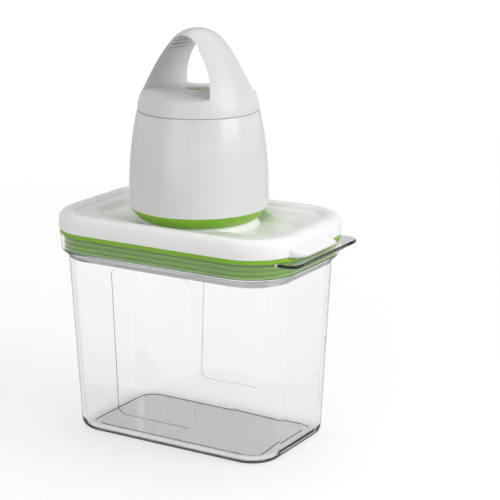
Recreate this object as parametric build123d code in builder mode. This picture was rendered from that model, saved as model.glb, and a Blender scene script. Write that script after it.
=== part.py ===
from build123d import *
from math import asin, cos, degrees, hypot, radians, sin, tan
import os

os.makedirs("parts", exist_ok=True)

# Vacuum seal canister, in millimetres. The canister stands on the plane Z = 0 with its long side
# along X. The lid closes it, the electric pump stands on the lid's docking ring, and the pump's
# battery cover carries the domed handle cap.

# Whole and quarter turn, in degrees
full_turn = 360.0
quarter_turn = 90.0

# Clear canister: rim collar, heights, walls and draft
collar_extra_length = 55.5
collar_corner = 29.0
canister_height = 122.0
collar_depth = 11.5
collar_wall = 2.6
collar_foot_inset = 0.9
collar_round = 3.0
shelf_thickness = 2.2
shoulder_inset = 4.8
shoulder_flare_reach = 1.7
shoulder_flare_height = 3.0
canister_wall = 2.0
canister_floor = 2.6
wall_draft = 3.0
foot_round = 5.0
floor_round = 4.0
foot_land_width = 3.0
foot_groove_width = 4.0
foot_groove_depth = 0.8
flange_reach = 8.8
flange_width = 76.0
flange_thickness = 2.0
flange_corner = 8.0
flange_root_length = 20.0
flange_edge_round = 0.8
panel_recess_depth = 0.5
panel_corner = 5.0
panel_foot_height = 16.0
front_panel_width = 54.0
front_panel_offset = -4.5
rear_panel_width = 45.0
rear_panel_offset = -2.0

# Gasket: flange between rim and lid, hanging wall and its sealing beads
gasket_flange_thickness = 2.4
gasket_wall_inset = 4.4
gasket_lift_gap = 0.6
bead_count = 3
bead_thickness = 1.2
bead_clearance = 0.3
plug_inset = 5.6
plug_wall = 1.8

# Lid: skirt, raised border, panel, wing-shaped finger recesses and pull tab
lid_skirt_height = 13.1
lid_top_inset = 2.4
lid_edge_round = 2.2
border_inset = 6.4
border_foot_inset = 8.4
border_gap = 1.85
border_edge_round = 1.2
panel_foot_round = 1.5
lid_panel_depth = 7.5
lid_wall = 2.2
wing_end_inset = 12.6
wing_width = 44.0
wing_corner = 16.0
wing_depth = 3.6
wing_slope_width = 2.0
wing_edge_round = 0.8
tab_reach = 7.4
tab_near_reach = 30.0
tab_far_reach = 11.0
tab_height = 5.4
tab_lip_height = 1.5
tab_near_corner = 10.0
tab_far_corner = 2.0
tab_root_length = 12.0
tab_edge_round = 0.5

# Docking ring, date dial and centre valve
ring_dock_inset = 9.2
ring_outer_slope = 5.1
ring_inner_slope = 2.8
ring_crest_width = 1.3
ring_height = 4.2
ring_edge_round = 0.4
dial_seat_depth = 1.0
dial_thickness = 1.2
dial_play = 0.4
valve_radius = 14.4
valve_thickness = 1.8
valve_proud_height = 0.8
valve_play = 0.4
valve_travel = 0.8
valve_edge_round = 0.6
valve_well_gap = 0.6
cup_wall = 0.7
cup_proud_height = 0.2
stem_radius = 2.8
stem_play = 0.35
stem_foot_length = 2.4
flap_radius = 9.5
flap_thickness = 0.8
flap_gap = 0.3
vent_count = 6
vent_radius = 0.8
vent_circle_radius = 6.0

# Pump: turned about Z so that its front faces the canister's front right corner
pump_turn = 32.7
foot_flare_reach = 5.0
belly_flare_reach = 4.3
shoulder_ledge_width = 0.3
seal_height = 7.0
housing_wall = 2.2
housing_top_wall = 2.0
rim_wall = 1.7
rim_height = 3.0
shoulder_edge_round = 0.5
rim_edge_round = 0.4

# Green silicone base: outer curve, docking groove and open middle
seal_foot_inset = 6.0
seal_bulge_inset = 2.3
seal_bulge_height = 3.6
seal_bore_inset = 4.0
seal_foot_round = 0.8
seal_bore_round = 0.5
dock_recess_depth = 1.5
dock_inner_reach = 2.1
dock_outer_reach = 2.0

# Base plate, its screws and the housing's screw bosses
base_plate_thickness = 2.2
base_plate_play = 0.3
boss_wall_overlap = 0.2
boss_radius = 3.2
boss_height = 18.0
screw_radius = 1.3
screw_head_radius = 2.6
screw_head_height = 1.4
screw_length = 10.0
screw_angle = 15.0

# Flats round the wire of the springs
wire_sides = 6

# AA cells and their wells in the battery deck
cell_radius = 7.25
cell_length = 50.5
nub_radius = 2.75
nub_height = 1.0
cell_end_round = 0.5
bead_groove_radius = 1.0
bead_groove_depth = 0.4
bead_groove_distance = 2.9
well_play = 0.35
well_wall = 1.2
well_foot_gap = 0.6
cell_gap = 0.4
well_neck = 6.0
cell_row_offset = 1.45
plus_end_height = 2.8
minus_end_depth = 1.0
well_floor = 1.2
contact_thickness = 0.5
contact_width = 9.0
spring_wire_radius = 0.45
spring_radius = 4.2
spring_turns = 2
spring_gap = 0.1

# Battery deck: plate, mounting flange, collar, button guide and slots
deck_edge_wall = 0.49
deck_play = 0.3
deck_thickness = 2.0
deck_flange_reach = 1.6
deck_flange_thickness = 2.0
collar_land_width = 2.0
collar_slope_width = 2.0
collar_rise_height = 3.4
collar_groove_width = 2.4
collar_groove_depth = 2.2
guide_rim_wall = 1.0
guide_drop_depth = 0.5
guide_tube_wall = 1.4
guide_tube_length = 4.7
collar_edge_round = 0.6
deck_slot_length = 12.0
deck_slot_width = 0.9
deck_slot_depth = 1.0
deck_slot_place = 19.0
deck_notch_inset = 2.3
deck_notch_offset = 9.0
deck_notch_size = 2.2
post_radius = 2.0
post_inset = 5.0

# Push button with its stem flange and return spring
button_radius = 6.2
button_top_inset = 0.3
button_play = 0.4
button_proud_height = 6.8
button_edge_round = 0.8
button_flange_reach = 1.6
button_flange_thickness = 1.1
button_gap = 0.3
button_travel = 1.5
button_coil_inset = 0.8
button_wire_radius = 0.35
button_coil_turns = 2

# Circuit board with switch, motor, eccentric and diaphragm pump in the middle of the housing
board_gap = 1.2
board_length = 44.0
board_thickness = 1.6
switch_size = 6.0
switch_height = 0.9
motor_radius = 11.2
motor_flat_depth = 1.6
motor_gap = 1.2
motor_boss_radius = 4.0
motor_boss_height = 1.2
motor_bearing_play = 0.05
shaft_grip_length = 9.0
case_gap = 0.8
case_wall = 1.4
head_height = 6.0
diaphragm_height = 3.2
diaphragm_gap = 0.4
diaphragm_web_thickness = 1.0
cup_radius = 3.4
cup_edge_inset = 0.8
arm_count = 3
arm_thickness = 1.2
arm_width = 4.0
crank_radius = 3.4
crank_height = 3.4
crank_pin_radius = 1.0
crank_throw_radius = 1.6
shaft_radius = 1.0
inner_gap = 0.2
nozzle_radius = 2.4
nozzle_bore_radius = 1.2
nozzle_proud_length = 0.8
filter_radius = 6.0
filter_thickness = 1.0

# Bayonet between the cover plate and the rim
lug_count = 3
lug_angle = 35.0
lug_width = 2.6
lug_height = 0.8
lug_reach = 0.8
bayonet_play = 0.3
bayonet_turn = 26.0
tongue_width = 23.0
prong_width = 4.5
tongue_drop_length = 2.3
prong_drop_length = 3.6
tongue_play = 1.5
tongue_gap = 0.3

# Cover plate, its seal and its contacts
cover_seal_thickness = 0.6
cover_skirt_gap = 0.3
cover_thickness = 1.2
cover_skirt_wall = 0.75
cover_skirt_lift = 0.8
cover_hole_play = 1.0
cover_edge_round = 0.4
dimple_place = 13.0
dimple_radius = 1.2
dimple_depth = 0.5
cover_contact_reach = 7.1
cover_contact_width = 9.0
cover_contact_corner = 2.0

# Domed handle cap: base, dome, through tunnel and its floor
cap_turn = -12.3
cap_top_wall = 3.6
cap_skirt_wall = 1.0
cap_skirt_gap = 0.35
cap_shoulder_gap = 0.3
cap_floor_top_height = 11.3
cap_floor_side_height = 6.7
cap_floor_wall = 2.0
cap_lip_height = 9.2
cap_lip_inset = 3.4
cap_lip_foot_inset = 1.9
cap_ledge_width = 2.75
tunnel_foot_inset = 6.8
tunnel_foot_height = 4.5
tunnel_waist_inset = 11.3
tunnel_waist_height = 19.5
tunnel_centre_height = 28.1
tunnel_top_radius = 15.2
tunnel_top_angle = 30.0
cap_hole_play = 0.4
cap_hole_step_width = 0.9
cap_hole_rim_height = 0.5
rib_count = 13
rib_range = 132.0
rib_width = 1.3
rib_depth = 1.2
rib_stop_share = 0.955
# Points where the dome's outline changes its curve, as shares of the cap's radius and height
dome_hip_shares = (0.949, 0.188)
dome_crown_shares = (0.431, 0.844)

# Overrun of cutters past the faces that they cut
overrun = 1.0

# Pump: places of the cells and radii worked out from the cells outward
case_radius = motor_radius + inner_gap
cell_spacing = 2 * cell_radius + cell_gap
well_radius = cell_radius + well_play
well_offset = case_radius + case_gap + well_wall + well_radius
deck_radius = hypot(well_offset, cell_row_offset + cell_spacing / 2) + well_radius + deck_edge_wall
rim_inner_radius = deck_radius + deck_play
rim_radius = rim_inner_radius + rim_wall
skirt_inner_radius = rim_radius + cover_skirt_gap
cover_radius = skirt_inner_radius + cover_skirt_wall
cap_skirt_inner_radius = cover_radius + cap_skirt_gap
cap_radius = cap_skirt_inner_radius + cap_skirt_wall
shoulder_radius = cap_radius + shoulder_ledge_width
belly_radius = shoulder_radius + belly_flare_reach
foot_radius = shoulder_radius + foot_flare_reach

# Pump: heights worked out from the base plate up, with the cells between deck and base plate
base_plate_top = seal_height + base_plate_thickness
well_foot_z = base_plate_top + well_foot_gap
well_floor_z = well_foot_z + well_floor
minus_end_z = well_floor_z + contact_thickness + cell_length
shoulder_height = minus_end_z + minus_end_depth
plus_end_z = shoulder_height + plus_end_height

# Docking ring, lid and canister: outlines that leave room for the pump's foot
ring_crest_radius = foot_radius - ring_dock_inset
ring_foot_radius = ring_crest_radius + ring_outer_slope
ring_bore_radius = ring_crest_radius - ring_inner_slope
collar_width = 2 * (foot_radius + border_gap + border_foot_inset)
collar_length = collar_width + collar_extra_length
wing_length = collar_length - 2 * wing_end_inset

# Heights of canister and lid
rim_z = canister_height
shoulder_z = rim_z - collar_depth
shelf_z = shoulder_z + shelf_thickness
lid_z = rim_z + gasket_flange_thickness
crest_z = lid_z + lid_skirt_height
panel_z = crest_z - lid_panel_depth
panel_under_z = panel_z - lid_wall
wing_z = panel_z - wing_depth
wing_under_z = wing_z - lid_wall
dock_z = panel_z + ring_height
dial_z = panel_z - dial_seat_depth
valve_z = dial_z + dial_thickness + valve_proud_height
pump_z = dock_z - dock_recess_depth
gasket_foot_z = shelf_z + gasket_lift_gap


def wall_inset(height):
    """How far the drafted wall at a height stands inside the neck outline."""
    return (shoulder_z - height) * tan(radians(wall_draft))


def outline(inset):
    """Rounded rectangle that follows the collar at an inset."""
    RectangleRounded(collar_length - 2 * inset, collar_width - 2 * inset, collar_corner - inset)


def ring_outline(outer_inset, inner_inset):
    """Closed band between two insets of the collar outline."""
    outline(outer_inset)
    RectangleRounded(
        collar_length - 2 * inner_inset,
        collar_width - 2 * inner_inset,
        collar_corner - inner_inset,
        mode=Mode.SUBTRACT,
    )


def turned_level(height, turn):
    """Horizontal plane on the pump's axis, turned about it."""
    direction = (cos(radians(turn)), sin(radians(turn)), 0)
    return Plane(origin=(0, 0, height), x_dir=direction, z_dir=(0, 0, 1))


def turned_side(height, turn):
    """Upright plane through the pump's axis: local X is level, local Y is up."""
    level = (cos(radians(turn)), sin(radians(turn)), 0)
    normal = (sin(radians(turn)), -cos(radians(turn)), 0)
    return Plane(origin=(0, 0, height), x_dir=level, z_dir=normal)


def pump_level(height):
    return turned_level(pump_z + height, pump_turn)


def pump_side():
    return turned_side(pump_z, pump_turn)


def sector(inner_radius, outer_radius, start_angle, span):
    """Part of a ring between two radii, from a start angle over a span in degrees."""
    with BuildLine() as band:
        inner_arc = CenterArc((0, 0), inner_radius, start_angle, span)
        outer_arc = CenterArc((0, 0), outer_radius, start_angle, span)
        Line(inner_arc @ 0, outer_arc @ 0)
        Line(inner_arc @ 1, outer_arc @ 1)
    make_face(band.edges())


# Canister cavity: drafted inside of the walls, with a rounded floor edge
with BuildPart() as canister_cavity:
    with BuildSketch(Plane.XY.offset(canister_floor)):
        outline(shoulder_inset + wall_inset(canister_floor) + canister_wall)
    with BuildSketch(Plane.XY.offset(shelf_z)):
        outline(shoulder_inset + wall_inset(shelf_z) + canister_wall)
    loft()
    fillet(canister_cavity.edges().group_by(Axis.Z)[0], radius=floor_round)
    with BuildSketch(Plane.XY.offset(shelf_z)):
        outline(collar_wall)
    extrude(amount=collar_depth)

# Pull flange: rounded plate that runs out from under the rim on one short side
with BuildPart() as pull_flange:
    with BuildSketch(Plane.XY.offset(rim_z - flange_thickness)):
        with Locations((collar_length / 2 + (flange_reach - flange_root_length) / 2, 0)):
            RectangleRounded(flange_reach + flange_root_length, flange_width, flange_corner)
    extrude(amount=flange_thickness)
    flange_levels = pull_flange.edges().group_by(Axis.Z)
    fillet(flange_levels[0] + flange_levels[-1], radius=flange_edge_round)

# Clear canister: collar, flared shoulder, drafted walls, pull flange and moulded panels
wall_normal = (0, cos(radians(wall_draft)), -sin(radians(wall_draft)))
foot_half_width = collar_width / 2 - shoulder_inset - wall_inset(0)
foot_groove_inset = shoulder_inset + wall_inset(0) + foot_round + foot_land_width
panel_height = shoulder_z - shoulder_flare_height - panel_foot_height
front_wall = Plane(
    origin=(0, -foot_half_width, 0),
    x_dir=(1, 0, 0),
    z_dir=(0, -wall_normal[1], wall_normal[2]),
)
rear_wall = Plane(origin=(0, foot_half_width, 0), x_dir=(-1, 0, 0), z_dir=wall_normal)

with BuildPart() as canister_body:
    with BuildSketch(Plane.XY.offset(shoulder_z)):
        outline(collar_foot_inset)
    with BuildSketch(Plane.XY.offset(rim_z)):
        outline(0)
    loft()
    fillet(canister_body.edges().group_by(Axis.Z)[0], radius=collar_round)
    with BuildSketch(Plane.XY.offset(shoulder_z - shoulder_flare_height)):
        outline(shoulder_inset + wall_inset(shoulder_z - shoulder_flare_height))
    with BuildSketch(Plane.XY.offset(shoulder_z)):
        outline(shoulder_inset - shoulder_flare_reach)
    loft()
    with BuildSketch():
        outline(shoulder_inset + wall_inset(0))
    with BuildSketch(Plane.XY.offset(shoulder_z)):
        outline(shoulder_inset)
    loft()
    fillet(canister_body.edges().group_by(Axis.Z)[0], radius=foot_round)
    add(pull_flange.part)
    add(canister_cavity.part, mode=Mode.SUBTRACT)
    with BuildSketch():
        ring_outline(foot_groove_inset, foot_groove_inset + foot_groove_width)
    extrude(amount=foot_groove_depth, mode=Mode.SUBTRACT)
    with BuildSketch(front_wall):
        with Locations((front_panel_offset, panel_foot_height + panel_height / 2)):
            RectangleRounded(front_panel_width, panel_height, panel_corner)
    extrude(amount=-panel_recess_depth, mode=Mode.SUBTRACT)
    with BuildSketch(rear_wall):
        with Locations((-rear_panel_offset, panel_foot_height + panel_height / 2)):
            RectangleRounded(rear_panel_width, panel_height, panel_corner)
    extrude(amount=-panel_recess_depth, mode=Mode.SUBTRACT)
canister_body.part.label = "canister_body"
export_step(canister_body.part, "parts/canister_body.step")

# Gasket: flange on the rim, wall round the lid's plug, and beads that meet the collar
bead_pitch = (rim_z - gasket_foot_z) / bead_count
with BuildPart() as lid_gasket:
    with BuildSketch(Plane.XY.offset(rim_z)):
        ring_outline(0, plug_inset)
    extrude(amount=gasket_flange_thickness)
    with BuildSketch(Plane.XY.offset(gasket_foot_z)):
        ring_outline(gasket_wall_inset, plug_inset)
    extrude(amount=rim_z - gasket_foot_z)
    for bead in range(bead_count):
        with BuildSketch(Plane.XY.offset(gasket_foot_z + bead * bead_pitch)):
            ring_outline(collar_wall + bead_clearance, plug_inset)
        extrude(amount=bead_thickness)
lid_gasket.part.label = "lid_gasket"
export_step(lid_gasket.part, "parts/lid_gasket.step")

# Pull tab: wedge-shaped lip on the lid's short side
tab_outer = collar_length / 2 + tab_reach
tab_inner = collar_length / 2 - tab_root_length
with BuildPart() as lid_tab:
    with BuildSketch(Plane.XY.offset(lid_z)):
        with BuildLine():
            Polyline(
                (tab_inner, -tab_near_reach),
                (tab_outer, -tab_near_reach),
                (tab_outer, tab_far_reach),
                (tab_inner, tab_far_reach),
                close=True,
            )
        make_face()
        fillet(vertices().group_by(Axis.X)[-1].sort_by(Axis.Y)[0], radius=tab_near_corner)
        fillet(vertices().group_by(Axis.X)[-1].sort_by(Axis.Y)[-1], radius=tab_far_corner)
    extrude(amount=tab_height)
    with BuildSketch(Plane.XZ):
        with BuildLine():
            Polyline(
                (tab_inner, lid_z),
                (tab_outer, lid_z),
                (tab_outer, lid_z + tab_lip_height),
                (collar_length / 2 - lid_top_inset / 2, lid_z + tab_height),
                (tab_inner, lid_z + tab_height),
                close=True,
            )
        make_face()
    extrude(amount=collar_width, both=True, mode=Mode.INTERSECT)
    tab_slope = lid_tab.faces().filter_by(Plane.XY, reverse=True).sort_by(Axis.Z)[-1]
    fillet(tab_slope.edges().sort_by(Axis.X)[1:], radius=tab_edge_round)

# Lid: bordered shell with plug wall, wing recesses and conical docking ring
ring_inner_crest = ring_crest_radius - ring_crest_width / 2
ring_outer_crest = ring_crest_radius + ring_crest_width / 2
valve_well_radius = valve_radius + valve_play
valve_well_depth = valve_thickness + valve_travel + valve_well_gap
valve_well_z = valve_z - valve_well_depth
with BuildPart() as lid_shell:
    with BuildSketch(Plane.XY.offset(lid_z)):
        outline(0)
    with BuildSketch(Plane.XY.offset(crest_z)):
        outline(lid_top_inset)
    loft()
    fillet(lid_shell.edges().group_by(Axis.Z)[-1], radius=lid_edge_round)
    add(lid_tab.part)
    with BuildSketch(Plane.XY.offset(panel_z)):
        outline(border_foot_inset)
    with BuildSketch(Plane.XY.offset(crest_z)):
        outline(border_inset)
    loft(mode=Mode.SUBTRACT)
    border_crest = lid_shell.faces().filter_by(Plane.XY).sort_by(Axis.Z)[-1]
    fillet(border_crest.inner_wires()[0].edges(), radius=border_edge_round)
    lid_panel = lid_shell.faces().sort_by_distance((0, 0, panel_z))[0]
    fillet(lid_panel.edges(), radius=panel_foot_round)
    with BuildSketch(Plane.XY.offset(lid_z)):
        outline(plug_inset + plug_wall)
    extrude(amount=panel_under_z - lid_z, mode=Mode.SUBTRACT)
    with BuildSketch(Plane.XY.offset(gasket_foot_z)):
        ring_outline(plug_inset, plug_inset + plug_wall)
    extrude(amount=lid_z - gasket_foot_z)
    with BuildSketch(Plane.XY.offset(wing_under_z)):
        RectangleRounded(
            wing_length + 2 * lid_wall,
            wing_width + 2 * lid_wall,
            wing_corner + lid_wall,
        )
        Circle(ring_foot_radius)
    extrude(amount=panel_z - wing_under_z)
    with BuildSketch(Plane.XY.offset(wing_z)):
        RectangleRounded(
            wing_length - 2 * wing_slope_width,
            wing_width - 2 * wing_slope_width,
            wing_corner - wing_slope_width,
        )
    with BuildSketch(Plane.XY.offset(panel_z)):
        RectangleRounded(wing_length, wing_width, wing_corner)
    loft(mode=Mode.SUBTRACT)
    beside_wing = (0, wing_width / 2 + wing_slope_width, panel_z)
    lid_panel = lid_shell.faces().sort_by_distance(beside_wing)[0]
    fillet(lid_panel.inner_wires()[0].edges(), radius=wing_edge_round)
    with BuildSketch(Plane.XZ):
        with BuildLine():
            Polyline(
                (0, wing_z),
                (ring_foot_radius, wing_z),
                (ring_outer_crest, dock_z),
                (ring_inner_crest, dock_z),
                (ring_bore_radius, dial_z + dial_thickness),
                (ring_bore_radius, dial_z),
                (0, dial_z),
                close=True,
            )
        make_face()
        fillet(vertices().sort_by_distance((ring_outer_crest, dock_z))[0], radius=ring_edge_round)
        fillet(vertices().sort_by_distance((ring_inner_crest, dock_z))[0], radius=ring_edge_round)
    revolve()
    with BuildSketch(Plane.XY.offset(dial_z)):
        Circle(ring_bore_radius)
    extrude(amount=ring_height, mode=Mode.SUBTRACT)
    with BuildSketch(Plane.XY.offset(dial_z)):
        Circle(valve_well_radius + cup_wall)
    extrude(amount=dial_thickness + cup_proud_height)
    with BuildSketch(Plane.XY.offset(valve_well_z)):
        Circle(valve_well_radius)
    extrude(amount=valve_well_depth + overrun, mode=Mode.SUBTRACT)
    with BuildSketch(Plane.XY.offset(wing_under_z)):
        Circle(stem_radius + stem_play)
        with PolarLocations(vent_circle_radius, vent_count):
            Circle(vent_radius)
    extrude(amount=valve_well_z - wing_under_z, mode=Mode.SUBTRACT)
lid_shell.part.label = "lid_shell"
export_step(lid_shell.part, "parts/lid_shell.step")

# Date dial: flat ring that turns on the lid's floor inside the docking ring
with BuildPart() as date_dial:
    with BuildSketch(Plane.XY.offset(dial_z)):
        Circle(ring_bore_radius - dial_play)
        Circle(valve_well_radius + cup_wall + dial_play, mode=Mode.SUBTRACT)
    extrude(amount=dial_thickness)
date_dial.part.label = "date_dial"
export_step(date_dial.part, "parts/date_dial.step")

# Valve button: green disc on a stem through the lid
stem_foot_z = wing_under_z - flap_gap - flap_thickness - stem_foot_length
with BuildPart() as valve_button:
    with BuildSketch(Plane.XY.offset(valve_z - valve_thickness)):
        Circle(valve_radius)
    extrude(amount=valve_thickness)
    fillet(valve_button.edges().group_by(Axis.Z)[-1], radius=valve_edge_round)
    with BuildSketch(Plane.XY.offset(stem_foot_z)):
        Circle(stem_radius)
    extrude(amount=valve_z - valve_thickness - stem_foot_z)
valve_button.part.label = "valve_button"
export_step(valve_button.part, "parts/valve_button.step")

# Valve flap: thin silicone disc on the stem, under the lid's vent holes
with BuildPart() as valve_flap:
    with BuildSketch(Plane.XY.offset(wing_under_z - flap_gap - flap_thickness)):
        Circle(flap_radius)
        Circle(stem_radius, mode=Mode.SUBTRACT)
    extrude(amount=flap_thickness)
valve_flap.part.label = "valve_flap"
export_step(valve_flap.part, "parts/valve_flap.step")

# Pump seal: green silicone base whose groove docks on the lid's ring
seal_foot_radius = foot_radius - seal_foot_inset
seal_bulge_radius = foot_radius - seal_bulge_inset
seal_bore_radius = ring_crest_radius - seal_bore_inset
with BuildPart() as pump_seal:
    with BuildSketch(pump_side()):
        with BuildLine():
            outer_foot = Line((seal_bore_radius, 0), (seal_foot_radius, 0))
            ThreePointArc(outer_foot @ 1, (seal_bulge_radius, seal_bulge_height), (foot_radius, seal_height))
            Line((foot_radius, seal_height), (seal_bore_radius, seal_height))
            Line((seal_bore_radius, seal_height), (seal_bore_radius, 0))
        make_face()
        fillet(vertices().sort_by_distance((seal_foot_radius, 0))[0], radius=seal_foot_round)
        fillet(vertices().sort_by_distance((seal_bore_radius, 0))[0], radius=seal_bore_round)
    revolve()
    with BuildSketch(pump_level(0)):
        Circle(ring_crest_radius + dock_outer_reach)
        Circle(ring_crest_radius - dock_inner_reach, mode=Mode.SUBTRACT)
    extrude(amount=dock_recess_depth, mode=Mode.SUBTRACT)
pump_seal.part.label = "pump_seal"
export_step(pump_seal.part, "parts/pump_seal.step")

# Base plate: closes the housing from below, with the nozzle and screw holes
boss_circle_radius = foot_radius - housing_wall - boss_radius + boss_wall_overlap
boss_angles = (
    screw_angle - quarter_turn,
    -screw_angle - quarter_turn,
    quarter_turn - screw_angle,
    quarter_turn + screw_angle,
)
boss_places = [
    (boss_circle_radius * cos(radians(angle)), boss_circle_radius * sin(radians(angle)))
    for angle in boss_angles
]
base_plate_radius = foot_radius - housing_wall - base_plate_play
with BuildPart() as base_plate:
    with BuildSketch(pump_level(seal_height)):
        Circle(base_plate_radius)
        Circle(nozzle_radius + inner_gap, mode=Mode.SUBTRACT)
        with Locations(*boss_places):
            Circle(screw_radius + inner_gap, mode=Mode.SUBTRACT)
    extrude(amount=base_plate_thickness)
    with BuildSketch(pump_level(seal_height)):
        with Locations(*boss_places):
            Circle(screw_head_radius + inner_gap)
    extrude(amount=screw_head_height, mode=Mode.SUBTRACT)
base_plate.part.label = "base_plate"
export_step(base_plate.part, "parts/base_plate.step")

# Pump housing: cone-like shell with shoulder, bayonet rim, tongue slot and screw bosses
shoulder_under = shoulder_height - housing_top_wall
rim_top = shoulder_height + rim_height
mid_height = (seal_height + shoulder_height) / 2
cover_under = rim_top + cover_seal_thickness
cover_top = cover_under + cover_thickness
skirt_foot = shoulder_height + cover_skirt_lift
lug_inner_radius = skirt_inner_radius - lug_reach
lug_half = degrees(lug_width / 2 / lug_inner_radius)
lug_play = degrees(bayonet_play / lug_inner_radius)
tongue_half = degrees(asin(tongue_width / 2 / cover_radius))
tongue_side_play = degrees(tongue_play / cover_radius)
front_angle = -quarter_turn
lug_angles = [front_angle + lug_angle + full_turn / lug_count * lug for lug in range(lug_count)]
with BuildPart() as pump_housing:
    with BuildSketch(pump_side()):
        with BuildLine():
            outer_side = ThreePointArc(
                (foot_radius, seal_height),
                (belly_radius, mid_height),
                (shoulder_radius, shoulder_height),
            )
            inner_side = ThreePointArc(
                (foot_radius - housing_wall, seal_height),
                (belly_radius - housing_wall, mid_height),
                (cover_radius + tongue_gap, shoulder_under),
            )
            Line(outer_side @ 0, inner_side @ 0)
            Polyline(
                outer_side @ 1,
                (rim_radius, shoulder_height),
                (rim_radius, rim_top),
                (rim_inner_radius, rim_top),
                (rim_inner_radius, shoulder_under),
                inner_side @ 1,
            )
        make_face()
        shoulder_vertex = vertices().sort_by_distance((shoulder_radius, shoulder_height))[0]
        fillet(shoulder_vertex, radius=shoulder_edge_round)
        fillet(vertices().sort_by_distance((rim_radius, rim_top))[0], radius=rim_edge_round)
        fillet(vertices().sort_by_distance((rim_inner_radius, rim_top))[0], radius=rim_edge_round)
    revolve()
    for angle in lug_angles:
        with BuildSketch(pump_level(skirt_foot - bayonet_play)):
            sector(
                lug_inner_radius - bayonet_play,
                rim_radius + overrun,
                angle - lug_half - lug_play,
                2 * (lug_half + lug_play),
            )
        extrude(amount=rim_top + overrun - skirt_foot, mode=Mode.SUBTRACT)
        with BuildSketch(pump_level(skirt_foot - bayonet_play)):
            sector(
                lug_inner_radius - bayonet_play,
                rim_radius + overrun,
                angle - bayonet_turn - lug_half - lug_play,
                bayonet_turn + 2 * (lug_half + lug_play),
            )
        extrude(amount=lug_height + 2 * bayonet_play, mode=Mode.SUBTRACT)
    with BuildSketch(pump_level(shoulder_under)):
        sector(
            rim_radius,
            cover_radius + tongue_gap,
            front_angle - tongue_half - tongue_side_play - bayonet_turn,
            2 * (tongue_half + tongue_side_play) + bayonet_turn,
        )
    extrude(amount=housing_top_wall + overrun, mode=Mode.SUBTRACT)
    with BuildSketch(pump_level(base_plate_top)):
        with Locations(*boss_places):
            Circle(boss_radius)
            Circle(screw_radius, mode=Mode.SUBTRACT)
    extrude(amount=boss_height)
pump_housing.part.label = "pump_housing"
export_step(pump_housing.part, "parts/pump_housing.step")

# Base screws: four pan-head screws through the base plate into the bosses
with BuildPart() as base_screws:
    with BuildSketch(pump_level(seal_height)):
        with Locations(*boss_places):
            Circle(screw_head_radius)
    extrude(amount=screw_head_height)
    with BuildSketch(pump_level(seal_height + screw_head_height)):
        with Locations(*boss_places):
            Circle(screw_radius)
    extrude(amount=screw_length)
base_screws.part.label = "base_screws"
export_step(base_screws.part, "parts/base_screws.step")

# Battery deck: plate inside the rim with figure-eight wells, collar and button guide
well_rows = (cell_row_offset + cell_spacing / 2, cell_row_offset - cell_spacing / 2)
well_places = [(side * well_offset, row) for side in (-1, 1) for row in well_rows]
neck_places = [(side * well_offset, cell_row_offset) for side in (-1, 1)]
flange_under = shoulder_under - deck_flange_thickness
guide_bore = button_radius + button_play
guide_radius = guide_bore + guide_rim_wall
collar_bore_radius = guide_radius + collar_groove_width
collar_top_radius = collar_bore_radius + collar_land_width
collar_foot_radius = collar_top_radius + collar_slope_width
guide_foot = shoulder_height - guide_tube_length
collar_top = shoulder_height + collar_rise_height
collar_groove = collar_top - collar_groove_depth
flange_top = guide_foot - button_gap
flange_foot = flange_top - button_flange_thickness
board_top = flange_foot - button_travel - button_gap - switch_height
board_under = board_top - board_thickness
post_place = board_length / 2 - post_inset
with BuildPart() as battery_deck:
    with BuildSketch(pump_level(flange_under)):
        Circle(rim_inner_radius + deck_flange_reach)
    extrude(amount=deck_flange_thickness)
    with BuildSketch(pump_level(shoulder_under)):
        Circle(deck_radius)
    extrude(amount=deck_thickness)
    with BuildSketch(pump_level(well_foot_z)):
        with Locations(*well_places):
            Circle(well_radius + well_wall)
    extrude(amount=flange_under - well_foot_z)
    with BuildSketch(pump_level(well_floor_z)):
        with Locations(*well_places):
            Circle(well_radius)
        with Locations(*neck_places):
            Rectangle(well_neck, cell_spacing)
    extrude(amount=shoulder_height - well_floor_z, mode=Mode.SUBTRACT)
    with BuildSketch(pump_level(flange_under)):
        Circle(guide_bore)
    extrude(amount=shoulder_height - flange_under, mode=Mode.SUBTRACT)
    with BuildSketch(pump_side()):
        with BuildLine():
            Polyline(
                (guide_bore, guide_foot),
                (guide_bore, collar_top - guide_drop_depth),
                (guide_radius, collar_top - guide_drop_depth),
                (guide_radius, collar_groove),
                (collar_bore_radius, collar_groove),
                (collar_bore_radius, collar_top),
                (collar_top_radius, collar_top),
                (collar_foot_radius, shoulder_height),
                (collar_foot_radius, shoulder_under),
                (guide_bore + guide_tube_wall, shoulder_under),
                (guide_bore + guide_tube_wall, guide_foot),
                close=True,
            )
        make_face()
        fillet(vertices().sort_by_distance((collar_top_radius, collar_top))[0], radius=collar_edge_round)
    revolve()
    with BuildSketch(pump_level(shoulder_height)):
        with Locations((0, -deck_slot_place)):
            Rectangle(deck_slot_length, deck_slot_width)
        with Locations((deck_notch_offset, deck_radius - deck_notch_inset)):
            Rectangle(deck_notch_size, deck_notch_size)
    extrude(amount=-deck_slot_depth, mode=Mode.SUBTRACT)
    with BuildSketch(pump_level(board_top)):
        with Locations((0, -post_place), (0, post_place)):
            Circle(post_radius)
    extrude(amount=flange_under - board_top)
battery_deck.part.label = "battery_deck"
export_step(battery_deck.part, "parts/battery_deck.step")

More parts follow.
